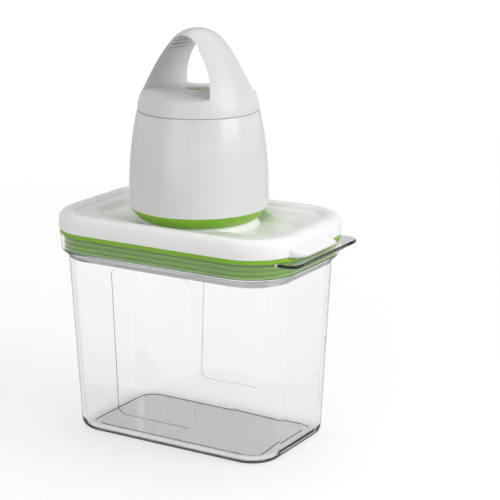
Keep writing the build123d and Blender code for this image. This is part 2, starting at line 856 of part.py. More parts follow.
# AA cells: rear cells plus end up and proud, front cells minus end up and sunk, each with the
# rolled groove below its plus end
for number, (place_x, place_y) in enumerate(well_places):
    plus_up = place_y > cell_row_offset
    foot_z = plus_end_z - cell_length if plus_up else minus_end_z - cell_length
    body_z = foot_z if plus_up else foot_z + nub_height
    nub_z = plus_end_z - nub_height if plus_up else foot_z
    groove_z = nub_z - bead_groove_distance if plus_up else body_z + bead_groove_distance
    with BuildPart() as battery_cell:
        with BuildSketch(pump_level(body_z)):
            with Locations((place_x, place_y)):
                Circle(cell_radius)
        extrude(amount=cell_length - nub_height)
        fillet(battery_cell.edges().filter_by(GeomType.CIRCLE), radius=cell_end_round)
        cell_origin = pump_level(groove_z).from_local_coords((place_x, place_y, 0))
        with BuildSketch(Plane(origin=cell_origin, x_dir=(1, 0, 0), z_dir=(0, -1, 0))):
            with Locations((cell_radius + bead_groove_radius - bead_groove_depth, 0)):
                Circle(bead_groove_radius)
        revolve(axis=Axis(cell_origin, (0, 0, 1)), mode=Mode.SUBTRACT)
        with BuildSketch(pump_level(nub_z)):
            with Locations((place_x, place_y)):
                Circle(nub_radius)
        extrude(amount=nub_height)
    battery_cell.part.label = f"battery_cell_{number + 1}"
    export_step(battery_cell.part, f"parts/battery_cell_{number + 1}.step")

# Lower contacts: one strip in the foot of each pair of wells
with BuildPart() as lower_contacts:
    with BuildSketch(pump_level(well_floor_z)):
        with Locations(*neck_places):
            SlotOverall(cell_spacing + contact_width, contact_width, rotation=quarter_turn)
            Rectangle(well_neck - 2 * inner_gap, cell_spacing, mode=Mode.INTERSECT)
        with Locations(*well_places):
            Circle(contact_width / 2)
    extrude(amount=contact_thickness)
lower_contacts.part.label = "lower_contacts"
export_step(lower_contacts.part, "parts/lower_contacts.step")

# Contact springs: a coil under each cell whose minus end points down
spring_foot = well_floor_z + contact_thickness + spring_wire_radius
spring_rise = plus_end_z - cell_length - spring_wire_radius - spring_gap - spring_foot
spring_coils = []
for side in (-1, 1):
    coil_base = pump_level(spring_foot)
    coil_centre = coil_base.from_local_coords((side * well_offset, well_rows[0], 0))
    with BuildPart() as contact_spring:
        with BuildLine(Plane(origin=coil_centre)):
            coil = Helix(spring_rise / spring_turns, spring_rise, spring_radius)
        with BuildSketch(Plane(origin=coil @ 0, z_dir=coil % 0)):
            RegularPolygon(spring_wire_radius, wire_sides)
        sweep()
    spring_coils.append(contact_spring.part)
with BuildPart() as contact_springs:
    for spring_coil in spring_coils:
        add(spring_coil)
contact_springs.part.label = "contact_springs"
export_step(contact_springs.part, "parts/contact_springs.step")

# Power button: tapered green cap with a stem flange that holds it in the guide
button_top_radius = button_radius - button_top_inset
button_height = collar_top + button_proud_height
with BuildPart() as power_button:
    with BuildSketch(pump_side()):
        with BuildLine():
            Polyline(
                (0, flange_foot),
                (button_radius + button_flange_reach, flange_foot),
                (button_radius + button_flange_reach, flange_top),
                (button_radius, flange_top),
                (button_radius, collar_top),
                (button_top_radius, button_height),
                (0, button_height),
                close=True,
            )
        make_face()
        fillet(vertices().sort_by_distance((button_top_radius, button_height))[0], radius=button_edge_round)
    revolve()
power_button.part.label = "power_button"
export_step(power_button.part, "parts/power_button.step")

# Button spring: coil between the circuit board and the stem flange
button_coil_radius = button_radius - button_coil_inset
coil_foot = board_top + button_wire_radius
coil_rise = flange_foot - spring_gap - button_wire_radius - coil_foot
with BuildPart() as button_spring:
    with BuildLine(Plane(origin=(0, 0, pump_z + coil_foot))):
        button_coil = Helix(coil_rise / button_coil_turns, coil_rise, button_coil_radius)
    with BuildSketch(Plane(origin=button_coil @ 0, z_dir=button_coil % 0)):
        RegularPolygon(button_wire_radius, wire_sides)
    sweep()
button_spring.part.label = "button_spring"
export_step(button_spring.part, "parts/button_spring.step")

# Circuit board and its push switch
board_width = 2 * (case_radius + case_gap - board_gap)
with BuildPart() as circuit_board:
    with BuildSketch(pump_level(board_under)):
        Rectangle(board_width, board_length)
    extrude(amount=board_thickness)
circuit_board.part.label = "circuit_board"
export_step(circuit_board.part, "parts/circuit_board.step")

with BuildPart() as tact_switch:
    with BuildSketch(pump_level(board_top)):
        Rectangle(switch_size, switch_size)
    extrude(amount=switch_height)
tact_switch.part.label = "tact_switch"
export_step(tact_switch.part, "parts/tact_switch.step")

# Diaphragm pump, from the base plate up: head, diaphragm, wobble arm, case, eccentric and motor
head_top = base_plate_top + head_height
cup_top = head_top + diaphragm_height
arm_foot = cup_top + inner_gap
arm_top = arm_foot + arm_thickness
pin_foot = arm_top + inner_gap
crank_foot = pin_foot + crank_throw_radius
crank_top = crank_foot + crank_height
motor_foot = crank_top + inner_gap + motor_boss_height
motor_length = board_under - motor_gap - motor_foot
nozzle_foot = seal_height - nozzle_proud_length
diaphragm_radius = case_radius - case_wall - diaphragm_gap
cup_circle_radius = diaphragm_radius - cup_radius - cup_edge_inset
with BuildPart() as pump_head:
    with BuildSketch(pump_level(base_plate_top)):
        Circle(case_radius)
    extrude(amount=head_height)
    with BuildSketch(pump_level(nozzle_foot)):
        Circle(nozzle_radius)
    extrude(amount=base_plate_top - nozzle_foot)
    with BuildSketch(pump_level(nozzle_foot)):
        Circle(nozzle_bore_radius)
    extrude(amount=base_plate_top + head_height / 2 - nozzle_foot, mode=Mode.SUBTRACT)
pump_head.part.label = "pump_head"
export_step(pump_head.part, "parts/pump_head.step")

with BuildPart() as diaphragm:
    with BuildSketch(pump_level(head_top)):
        Circle(diaphragm_radius)
    extrude(amount=diaphragm_web_thickness)
    with BuildSketch(pump_level(head_top)):
        with PolarLocations(cup_circle_radius, arm_count):
            Circle(cup_radius)
    extrude(amount=diaphragm_height)
diaphragm.part.label = "diaphragm"
export_step(diaphragm.part, "parts/diaphragm.step")

with BuildPart() as wobble_arm:
    with BuildSketch(pump_level(arm_foot)):
        Circle(arm_width)
        with PolarLocations(cup_circle_radius, arm_count):
            Circle(arm_width / 2)
        with PolarLocations(cup_circle_radius / 2, arm_count):
            Rectangle(cup_circle_radius, arm_width)
    extrude(amount=arm_thickness)
wobble_arm.part.label = "wobble_arm"
export_step(wobble_arm.part, "parts/wobble_arm.step")

with BuildPart() as crank_case:
    with BuildSketch(pump_level(head_top)):
        Circle(case_radius)
        Circle(case_radius - case_wall, mode=Mode.SUBTRACT)
    extrude(amount=motor_foot - head_top)
    with BuildSketch(pump_level(motor_foot - motor_boss_height + inner_gap)):
        Circle(case_radius)
        Circle(motor_boss_radius + inner_gap, mode=Mode.SUBTRACT)
    extrude(amount=motor_boss_height - inner_gap)
crank_case.part.label = "crank_case"
export_step(crank_case.part, "parts/crank_case.step")

with BuildPart() as motor:
    with BuildSketch(pump_level(motor_foot)):
        Circle(motor_radius)
        Rectangle(2 * motor_radius, 2 * (motor_radius - motor_flat_depth), mode=Mode.INTERSECT)
    extrude(amount=motor_length)
    with BuildSketch(pump_level(motor_foot)):
        Circle(motor_boss_radius)
    extrude(amount=-motor_boss_height)
    with BuildSketch(pump_level(crank_top)):
        Circle(shaft_radius + motor_bearing_play)
    extrude(amount=shaft_grip_length + inner_gap, mode=Mode.SUBTRACT)
motor.part.label = "motor"
export_step(motor.part, "parts/motor.step")

with BuildPart() as motor_crank:
    with BuildSketch(pump_level(crank_foot)):
        Circle(crank_radius)
    extrude(amount=crank_height)
    with BuildSketch(pump_level(crank_top)):
        Circle(shaft_radius)
    extrude(amount=shaft_grip_length)
    with BuildSketch(pump_level(crank_foot)):
        with Locations((crank_throw_radius, 0)):
            Circle(crank_pin_radius)
    extrude(amount=-crank_throw_radius)
motor_crank.part.label = "motor_crank"
export_step(motor_crank.part, "parts/motor_crank.step")

# Intake filter: felt ring round the nozzle under the base plate
with BuildPart() as intake_filter:
    with BuildSketch(pump_level(seal_height)):
        Circle(filter_radius)
        Circle(nozzle_radius + inner_gap, mode=Mode.SUBTRACT)
    extrude(amount=-filter_thickness)
intake_filter.part.label = "intake_filter"
export_step(intake_filter.part, "parts/intake_filter.step")

# Cover seal: flat ring between the rim and the cover plate
with BuildPart() as cover_seal:
    with BuildSketch(pump_level(rim_top)):
        Circle(rim_radius - rim_edge_round)
        Circle(rim_inner_radius + rim_edge_round, mode=Mode.SUBTRACT)
    extrude(amount=cover_seal_thickness)
cover_seal.part.label = "cover_seal"
export_step(cover_seal.part, "parts/cover_seal.step")

# Cover plate: disc with skirt, bayonet lugs, and the tongue with its two prongs
tongue_foot = skirt_foot - tongue_drop_length
prong_foot = tongue_foot - prong_drop_length
prong_gap = degrees(asin((tongue_width / 2 - prong_width) / cover_radius))
with BuildPart() as cover_plate:
    with BuildSketch(pump_level(cover_under)):
        Circle(cover_radius)
        Circle(button_radius + cover_hole_play, mode=Mode.SUBTRACT)
    extrude(amount=cover_thickness)
    fillet(cover_plate.edges().group_by(Axis.Z)[-1].sort_by(SortBy.LENGTH)[-1], radius=cover_edge_round)
    with BuildSketch(pump_level(skirt_foot)):
        Circle(cover_radius)
        Circle(skirt_inner_radius, mode=Mode.SUBTRACT)
    extrude(amount=cover_under - skirt_foot)
    for angle in lug_angles:
        with BuildSketch(pump_level(skirt_foot)):
            sector(lug_inner_radius, cover_radius - cover_skirt_wall / 2, angle - lug_half, 2 * lug_half)
        extrude(amount=lug_height)
    with BuildSketch(pump_level(tongue_foot)):
        sector(skirt_inner_radius, cover_radius, front_angle - tongue_half, 2 * tongue_half)
    extrude(amount=tongue_drop_length)
    for start in (front_angle - tongue_half, front_angle + prong_gap):
        with BuildSketch(pump_level(prong_foot)):
            sector(skirt_inner_radius, cover_radius, start, tongue_half - prong_gap)
        extrude(amount=prong_drop_length)
    with BuildSketch(pump_level(cover_top)):
        with Locations((-dimple_place, 0), (dimple_place, 0)):
            Circle(dimple_radius)
    extrude(amount=-dimple_depth, mode=Mode.SUBTRACT)
cover_plate.part.label = "cover_plate"
export_step(cover_plate.part, "parts/cover_plate.step")

# Cover contacts: strips under the cover plate that bridge each pair of cells
with BuildPart() as cover_contacts:
    with BuildSketch(pump_level(cover_under)):
        with Locations(*neck_places):
            RectangleRounded(cover_contact_width, cell_spacing + cover_contact_reach, cover_contact_corner)
    extrude(amount=-contact_thickness)
cover_contacts.part.label = "cover_contacts"
export_step(cover_contacts.part, "parts/cover_contacts.step")

# Handle cap: dome cut through by an arched tunnel with a sloped floor and ribs under the arch
cap_z = pump_z + shoulder_height + cap_shoulder_gap
cap_base_depth = cover_top - shoulder_height - cap_shoulder_gap
cap_hole_radius = button_radius + cap_hole_play
cap_lip_radius = cap_radius - cap_lip_inset
cap_lip_foot_radius = cap_radius - cap_lip_foot_inset
tunnel_foot_half_width = cap_radius - tunnel_foot_inset
tunnel_waist_half_width = cap_radius - tunnel_waist_inset
tunnel_top = tunnel_centre_height + tunnel_top_radius
cap_height = tunnel_top + cap_top_wall


def cap_level(height):
    return turned_level(cap_z + height, cap_turn)


def dome_face(scale_share):
    """Half section of the dome, drawn in toward the middle of its base by a share."""
    radius = cap_radius * scale_share
    height = cap_height * scale_share
    hip = (radius * dome_hip_shares[0], height * dome_hip_shares[1])
    crown = (radius * dome_crown_shares[0], height * dome_crown_shares[1])
    with BuildLine() as dome_line:
        foot_arc = TangentArc((radius, 0), hip, tangent=(0, 1))
        flank_arc = TangentArc(hip, crown, tangent=foot_arc % 1)
        TangentArc(crown, (0, height), tangent=flank_arc % 1)
        Line((0, height), (0, 0))
        Line((0, 0), (radius, 0))
    make_face(dome_line.edges())


tunnel_side = turned_side(cap_z, cap_turn)
floor_side = turned_side(cap_z, cap_turn + quarter_turn)
crown_x = tunnel_top_radius * cos(radians(tunnel_top_angle))
crown_y = tunnel_centre_height + tunnel_top_radius * sin(radians(tunnel_top_angle))


def floor_face(drop, roof):
    """Section along the tunnel between the sloped floor, lowered by a drop, and a roof height."""
    with BuildLine() as floor_line:
        floor_arc = ThreePointArc(
            (-cap_radius, cap_floor_side_height - drop),
            (0, cap_floor_top_height - drop),
            (cap_radius, cap_floor_side_height - drop),
        )
        Polyline(floor_arc @ 0, (-cap_radius, roof), (cap_radius, roof), floor_arc @ 1)
    make_face(floor_line.edges())


with BuildPart() as cap_tunnel:
    with BuildSketch(tunnel_side):
        with BuildLine():
            left_leg = ThreePointArc(
                (-tunnel_foot_half_width, tunnel_foot_height),
                (-tunnel_waist_half_width, tunnel_waist_height),
                (-crown_x, crown_y),
            )
            ThreePointArc(left_leg @ 1, (0, tunnel_top), (crown_x, crown_y))
            right_leg = ThreePointArc(
                (crown_x, crown_y),
                (tunnel_waist_half_width, tunnel_waist_height),
                (tunnel_foot_half_width, tunnel_foot_height),
            )
            Line(right_leg @ 1, left_leg @ 0)
        make_face()
    extrude(amount=cap_radius + overrun, both=True)
    with BuildSketch(floor_side):
        floor_face(0, cap_height + overrun)
    extrude(amount=cap_radius, both=True, mode=Mode.INTERSECT)
    with BuildSketch(tunnel_side):
        with BuildLine():
            Polyline(
                (cap_lip_foot_radius, 0),
                (cap_lip_radius, cap_lip_height),
                (cap_radius + 2 * overrun, cap_lip_height),
                (cap_radius + 2 * overrun, 0),
                close=True,
            )
        make_face()
    revolve(mode=Mode.SUBTRACT)

rib_start = quarter_turn - rib_range / 2
with BuildPart() as cap_grooves:
    with BuildSketch(tunnel_side):
        with Locations((0, tunnel_centre_height)):
            with PolarLocations(tunnel_top_radius, rib_count, rib_start, rib_range, endpoint=True):
                Rectangle(2 * rib_depth, rib_width)
    extrude(amount=cap_radius, both=True)
    with BuildSketch(tunnel_side):
        dome_face(rib_stop_share)
    revolve(mode=Mode.INTERSECT)

with BuildPart() as cap_cavity:
    with BuildSketch(cap_level(cap_base_depth)):
        Circle(cover_radius - cap_ledge_width)
    extrude(amount=cap_floor_top_height)
    with BuildSketch(floor_side):
        floor_face(cap_floor_wall, cap_height + overrun)
    extrude(amount=cap_radius, both=True, mode=Mode.SUBTRACT)
    with BuildSketch(cap_level(-overrun)):
        Circle(cap_skirt_inner_radius)
    extrude(amount=cap_base_depth + overrun)

with BuildPart() as handle_cap:
    with BuildSketch(tunnel_side):
        dome_face(1)
    revolve()
    add(cap_tunnel.part, mode=Mode.SUBTRACT)
    add(cap_cavity.part, mode=Mode.SUBTRACT)
    with BuildSketch(cap_level(cap_floor_top_height - cap_hole_rim_height)):
        Circle(cap_hole_radius + 2 * cap_hole_step_width)
        Circle(cap_hole_radius + cap_hole_step_width, mode=Mode.SUBTRACT)
    extrude(amount=2 * cap_hole_rim_height)
    with BuildSketch(cap_level(0)):
        Circle(cap_hole_radius)
    extrude(amount=cap_floor_top_height + overrun, mode=Mode.SUBTRACT)
    add(cap_grooves.part, mode=Mode.SUBTRACT)
handle_cap.part.label = "handle_cap"
export_step(handle_cap.part, "parts/handle_cap.step")
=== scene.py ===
import math

import bpy
from mathutils import Matrix, Vector


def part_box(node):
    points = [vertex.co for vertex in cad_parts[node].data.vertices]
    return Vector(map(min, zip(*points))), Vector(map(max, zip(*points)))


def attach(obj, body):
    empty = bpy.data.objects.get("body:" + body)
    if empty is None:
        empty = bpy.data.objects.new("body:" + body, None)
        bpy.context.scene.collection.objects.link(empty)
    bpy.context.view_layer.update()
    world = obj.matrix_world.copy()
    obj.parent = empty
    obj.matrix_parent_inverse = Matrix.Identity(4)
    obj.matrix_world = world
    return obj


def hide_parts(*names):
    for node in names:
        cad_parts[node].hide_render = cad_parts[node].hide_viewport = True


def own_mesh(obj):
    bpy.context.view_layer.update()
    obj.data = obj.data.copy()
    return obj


bl_info = {
    "name": "Vacuum Seal Canister",
    "version": (1, 0, 0),
    "blender": (4, 5, 0),
    "location": "View3D > Sidebar > Canister",
    "description": "Finishes and stages the clear canister with its lid, vacuum pump and handle cap",
    "category": "Object",
}

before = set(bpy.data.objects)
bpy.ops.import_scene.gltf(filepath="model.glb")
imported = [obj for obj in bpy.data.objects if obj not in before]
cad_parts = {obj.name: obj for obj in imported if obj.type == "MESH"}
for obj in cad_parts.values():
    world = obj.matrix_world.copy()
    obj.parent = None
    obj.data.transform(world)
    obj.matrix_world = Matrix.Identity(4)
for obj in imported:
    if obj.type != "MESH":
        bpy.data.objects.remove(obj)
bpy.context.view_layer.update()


class FinishSettings(bpy.types.PropertyGroup):
    # Painted shade: the white ABS is given a light grey, greyer than the plastic's own white, so the housing,
    # deck, cover and cap look shaded
    white_abs_painted_shade: bpy.props.StringProperty(
        name="White ABS", description="Colour of the pump housing, deck, cover and cap", default="#E1E1E0"
    )
    lid_white: bpy.props.StringProperty(
        name="Lid white", description="Colour of the lid's polypropylene", default="#FCFCFB"
    )
    dial_grey: bpy.props.StringProperty(
        name="Dial grey", description="Colour of the date dial", default="#DADAD8"
    )
    clear_tint: bpy.props.StringProperty(
        name="Clear tint", description="Tint of the canister's clear plastic", default="#FAFBFB"
    )
    silicone_green: bpy.props.StringProperty(
        name="Silicone green", description="Colour of the gasket and the pump's base", default="#8ABF34"
    )
    valve_green: bpy.props.StringProperty(
        name="Valve green", description="Colour of the centre valve", default="#92C062"
    )
    button_lime: bpy.props.StringProperty(
        name="Button lime", description="Colour of the power button", default="#9CCB2E"
    )
    moulding_wave: bpy.props.FloatProperty(
        name="Moulding wave", description="Spacing of the faint waves on moulded walls", default=0.011,
        unit="LENGTH",
    )


class MarkSettings(bpy.types.PropertyGroup):
    day_count: bpy.props.IntProperty(
        name="Days", description="Days of the date dial, of which every second is a numeral",
        default=31, min=1,
    )
    day_radius: bpy.props.FloatProperty(
        name="Numeral circle", description="Radius of the circle that the numerals stand on",
        default=0.0243, unit="LENGTH",
    )
    day_height: bpy.props.FloatProperty(
        name="Numeral height", description="Height of a numeral", default=0.0028, unit="LENGTH"
    )
    mark_turn: bpy.props.FloatProperty(
        name="Mark turn", description="Direction about Z that the pump's closing mark faces",
        default=math.radians(-65.2), subtype="ANGLE",
    )
    mark_height: bpy.props.FloatProperty(
        name="Mark height", description="Height of the pump's closing mark above the table",
        default=0.1972, unit="LENGTH",
    )
    mark_width: bpy.props.FloatProperty(
        name="Mark width", description="Width of the pump's closing mark", default=0.0042, unit="LENGTH"
    )
    ink_depth: bpy.props.FloatProperty(
        name="Ink depth", description="How far a printed mark stands off its surface",
        default=0.00006, unit="LENGTH",
    )


class LidSettings(bpy.types.PropertyGroup):
    corner_radius: bpy.props.FloatProperty(
        name="Corner radius", description="Radius of the lid's corners seen from above",
        default=0.029, unit="LENGTH",
    )
    crest_height: bpy.props.FloatProperty(
        name="Crest height", description="How far the border's crest stands above the lid's foot",
        default=0.0108, unit="LENGTH",
    )
    panel_drop: bpy.props.FloatProperty(
        name="Panel drop", description="How far the panel lies below the border's crest",
        default=0.0029, unit="LENGTH",
    )
    recess_depth: bpy.props.FloatProperty(
        name="Recess depth", description="How far the finger recesses go down from the panel",
        default=0.0048, unit="LENGTH",
    )
    recess_half_length: bpy.props.FloatProperty(
        name="Recess half length", description="From the lid's middle to a finger recess's end",
        default=0.0650, unit="LENGTH",
    )
    recess_half_width: bpy.props.FloatProperty(
        name="Recess half width", description="Half the width of the finger recesses at their ends",
        default=0.024, unit="LENGTH",
    )
    recess_corner: bpy.props.FloatProperty(
        name="Recess corner", description="Corner radius at the finger recesses' ends",
        default=0.017, unit="LENGTH",
    )
    moat_radius: bpy.props.FloatProperty(
        name="Moat radius", description="Radius that the recesses widen to round the docking ring",
        default=0.040, unit="LENGTH",
    )
    moat_fillet: bpy.props.FloatProperty(
        name="Moat fillet", description="Radius between a recess's side and the round moat",
        default=0.014, unit="LENGTH",
    )
    ring_radius: bpy.props.FloatProperty(
        name="Ring radius", description="Outer radius of the docking ring at its crest",
        default=0.03205, unit="LENGTH",
    )
    ring_rise: bpy.props.FloatProperty(
        name="Ring rise", description="How far the docking ring's crest stands above the dial",
        default=0.004, unit="LENGTH",
    )
    ring_lean: bpy.props.FloatProperty(
        name="Ring lean", description="How far the docking ring widens for each metre down", default=0.5705
    )


class StageSettings(bpy.types.PropertyGroup):
    camera_place: bpy.props.FloatVectorProperty(
        name="Camera", description="Where the camera stands", size=3,
        default=(0.52607, -0.81630, 0.36953), subtype="TRANSLATION", unit="LENGTH",
    )
    camera_turn: bpy.props.FloatProperty(
        name="Camera turn", description="How far the camera is turned about Z",
        default=math.radians(31.04), subtype="ANGLE",
    )
    camera_tilt: bpy.props.FloatProperty(
        name="Camera tilt", description="How far the camera looks down",
        default=math.radians(14.9), subtype="ANGLE",
    )
    lens: bpy.props.FloatProperty(
        name="Lens", description="Focal length in millimetres on a 36 mm sensor", default=122.4
    )
    key_power: bpy.props.FloatProperty(
        name="Key light", description="Power of the strongest light, at the right, in watts", default=3.6
    )
    fill_power: bpy.props.FloatProperty(
        name="Fill light", description="Power of the light at the left, in watts", default=1.5
    )
    top_power: bpy.props.FloatProperty(
        name="Top light", description="Power of the light overhead, in watts", default=1.1
    )
    room_level: bpy.props.FloatProperty(
        name="Room level", description="Brightness of the white room round the object", default=0.55
    )
    flag_level: bpy.props.FloatProperty(
        name="Flag level", description="Brightness of the dark flags above the table's edge, that "
        "glossy and clear surfaces show as dark lines", default=0.06,
    )


def linear(code):
    """The linear colour of an sRGB hex code."""
    parts = [int(code[i:i + 2], 16) / 255 for i in (1, 3, 5)]
    lin = [c / 12.92 if c <= 0.04045 else ((c + 0.055) / 1.055) ** 2.4 for c in parts]
    return (*lin, 1.0)


def add_node(tree, kind, settings=None, links=None, output=None):
    """A node with its settings, by attribute or socket name, its links into it, and its own link
    to an output's surface."""
    node = tree.nodes.new(kind)
    for name, value in (settings or {}).items():
        if isinstance(name, str) and hasattr(node, name):
            setattr(node, name, value)
        else:
            node.inputs[name].default_value = value
    for name, source in (links or {}).items():
        tree.links.new(source, node.inputs[name])
    if output is not None:
        tree.links.new(node.outputs[0], output.inputs["Surface"])
    return node


def new_material(name):
    """An empty material with its output node and its Object coordinates."""
    material = bpy.data.materials.new(name)
    material.use_nodes = True
    tree = material.node_tree
    tree.nodes.clear()
    output = add_node(tree, "ShaderNodeOutputMaterial")
    place = add_node(tree, "ShaderNodeTexCoord").outputs["Object"]
    return material, tree, output, place


def shade(code, factor):
    """A hex code made darker or lighter by a factor."""
    parts = [min(255, round(int(code[i:i + 2], 16) * factor)) for i in (1, 3, 5)]
    return "#%02X%02X%02X" % tuple(parts)


def polished_abs(name, code, roughness, wave):
    """Injection-moulded ABS from a polished mould: glossy, with the slow waves of cooled plastic,
    clouds of colour 18 mm across and handling marks 6 mm across that dull the gloss."""
    material, tree, output, place = new_material(name)
    cloud = add_node(tree, "ShaderNodeTexNoise", {"Scale": 1 / 0.018, "Detail": 3.0}, {"Vector": place})
    colour = add_node(
        tree, "ShaderNodeMix",
        {"data_type": "RGBA", 6: linear(shade(code, 0.985)), 7: linear(shade(code, 1.01))},
        {0: cloud.outputs["Fac"]},
    )
    marks = add_node(tree, "ShaderNodeTexNoise", {"Scale": 1 / 0.006, "Detail": 4.0}, {"Vector": place})
    dull = add_node(
        tree, "ShaderNodeMapRange",
        {"From Min": 0.35, "From Max": 0.7, "To Min": roughness - 0.04, "To Max": roughness + 0.07},
        {"Value": marks.outputs["Fac"]},
    )
    waves = add_node(tree, "ShaderNodeTexNoise", {"Scale": 1 / wave, "Detail": 1.0}, {"Vector": place})
    relief = add_node(
        tree, "ShaderNodeBump", {"Strength": 1.0, "Distance": 0.000004}, {"Height": waves.outputs["Fac"]}
    )
    add_node(
        tree, "ShaderNodeBsdfPrincipled", {"IOR": 1.53},
        {"Base Color": colour.outputs[2], "Roughness": dull.outputs[0], "Normal": relief.outputs[0]},
        output,
    )
    return material


def soft_polypropylene(name, code, roughness):
    """Moulded polypropylene: waxy satin that takes in a little light, with flow clouds 30 mm long
    and the grain of a spark-eroded mould, drawn at 0.5 mm so that it shows."""
    material, tree, output, place = new_material(name)
    flow = add_node(tree, "ShaderNodeTexNoise", {"Scale": 1 / 0.03}, {"Vector": place})
    colour = add_node(
        tree, "ShaderNodeMix",
        {"data_type": "RGBA", 6: linear(shade(code, 0.98)), 7: linear(shade(code, 1.01))},
        {0: flow.outputs["Fac"]},
    )
    marks = add_node(tree, "ShaderNodeTexNoise", {"Scale": 1 / 0.009, "Detail": 3.0}, {"Vector": place})
    dull = add_node(
        tree, "ShaderNodeMapRange",
        {"From Min": 0.3, "From Max": 0.7, "To Min": roughness - 0.04, "To Max": roughness + 0.06},
        {"Value": marks.outputs["Fac"]},
    )
    grain = add_node(tree, "ShaderNodeTexNoise", {"Scale": 1 / 0.0005}, {"Vector": place})
    fine = add_node(
        tree, "ShaderNodeBump", {"Strength": 1.0, "Distance": 0.000006}, {"Height": grain.outputs["Fac"]}
    )
    waves = add_node(tree, "ShaderNodeTexNoise", {"Scale": 1 / 0.004, "Detail": 1.0}, {"Vector": place})
    relief = add_node(
        tree, "ShaderNodeBump", {"Strength": 1.0, "Distance": 0.00002},
        {"Height": waves.outputs["Fac"], "Normal": fine.outputs[0]},
    )
    add_node(
        tree, "ShaderNodeBsdfPrincipled",
        {"IOR": 1.49, "Subsurface Weight": 0.1, "Subsurface Scale": 0.0015, "Subsurface Radius": (1, 1, 1)},
        {"Base Color": colour.outputs[2], "Roughness": dull.outputs[0], "Normal": relief.outputs[0]},
        output,
    )
    return material


def clear_copolyester(name, code):
    """Clear moulded copolyester: walls that bend what is behind them, with painted shade that darkens the
    base colour where one looks along them, drawing dark edge lines; slow waves from the mould and fine rub
    marks. Lamps shine through to the inside."""
    material, tree, output, place = new_material(name)
    waves = add_node(tree, "ShaderNodeTexNoise", {"Scale": 1 / 0.011, "Detail": 1.0}, {"Vector": place})
    relief = add_node(
        tree, "ShaderNodeBump", {"Strength": 1.0, "Distance": 0.00003}, {"Height": waves.outputs["Fac"]}
    )
    rubs = add_node(
        tree, "ShaderNodeTexNoise", {"Scale": 1 / 0.004, "Detail": 5.0, "Roughness": 0.7}, {"Vector": place}
    )
    dull = add_node(
        tree, "ShaderNodeMapRange",
        {"From Min": 0.55, "From Max": 0.8, "To Min": 0.01, "To Max": 0.06}, {"Value": rubs.outputs["Fac"]},
    )
    # Painted shade: the colour turns dark grey where the wall is seen edge-on, drawing dark lines along edges
    # and silhouettes
    facing = add_node(tree, "ShaderNodeLayerWeight", {"Blend": 0.5}).outputs["Facing"]
    painted_edge_shade = add_node(tree, "ShaderNodeMapRange", {"From Min": 0.72, "From Max": 0.98}, {"Value": facing})
    tint = add_node(
        tree, "ShaderNodeMix", {"data_type": "RGBA", 6: linear(code), 7: linear("#34383A")},
        {0: painted_edge_shade.outputs[0]},
    )
    glass = add_node(
        tree, "ShaderNodeBsdfPrincipled",
        {"IOR": 1.56, "Transmission Weight": 1.0},
        {"Base Color": tint.outputs[2], "Roughness": dull.outputs[0], "Normal": relief.outputs[0]},
    )
    passing = add_node(tree, "ShaderNodeBsdfTransparent", {"Color": linear("#EDF1EF")})
    path = add_node(tree, "ShaderNodeLightPath")
    add_node(
        tree, "ShaderNodeMixShader", None,
        {0: path.outputs["Is Shadow Ray"], 1: glass.outputs[0], 2: passing.outputs[0]}, output,
    )
    depth = add_node(tree, "ShaderNodeVolumeAbsorption", {"Color": linear("#8B8D8D"), "Density": 34.0})
    tree.links.new(depth.outputs[0], output.inputs["Volume"])
    return material


def matte_silicone(name, code, roughness=0.42):
    """Moulded silicone rubber: soft sheen, a matt grain of 0.6 mm and a little light that goes in,
    with clouds 12 mm across and a duller bloom in patches of 3 mm."""
    material, tree, output, place = new_material(name)
    cloud = add_node(tree, "ShaderNodeTexNoise", {"Scale": 1 / 0.012, "Detail": 3.0}, {"Vector": place})
    colour = add_node(
        tree, "ShaderNodeMix",
        {"data_type": "RGBA", 6: linear(shade(code, 0.93)), 7: linear(shade(code, 1.05))},
        {0: cloud.outputs["Fac"]},
    )
    bloom = add_node(tree, "ShaderNodeTexNoise", {"Scale": 1 / 0.003, "Detail": 3.0}, {"Vector": place})
    dull = add_node(
        tree, "ShaderNodeMapRange",
        {"From Min": 0.3, "From Max": 0.75, "To Min": roughness - 0.06, "To Max": roughness + 0.14},
        {"Value": bloom.outputs["Fac"]},
    )
    grain = add_node(tree, "ShaderNodeTexNoise", {"Scale": 1 / 0.0006}, {"Vector": place})
    relief = add_node(
        tree, "ShaderNodeBump", {"Strength": 1.0, "Distance": 0.00001}, {"Height": grain.outputs["Fac"]}
    )
    add_node(
        tree, "ShaderNodeBsdfPrincipled",
        {
            "IOR": 1.41,
            "Subsurface Weight": 0.12,
            "Subsurface Scale": 0.0012,
            "Subsurface Radius": (0.7, 1.0, 0.35),
        },
        {"Base Color": colour.outputs[2], "Roughness": dull.outputs[0], "Normal": relief.outputs[0]},
        output,
    )
    return material


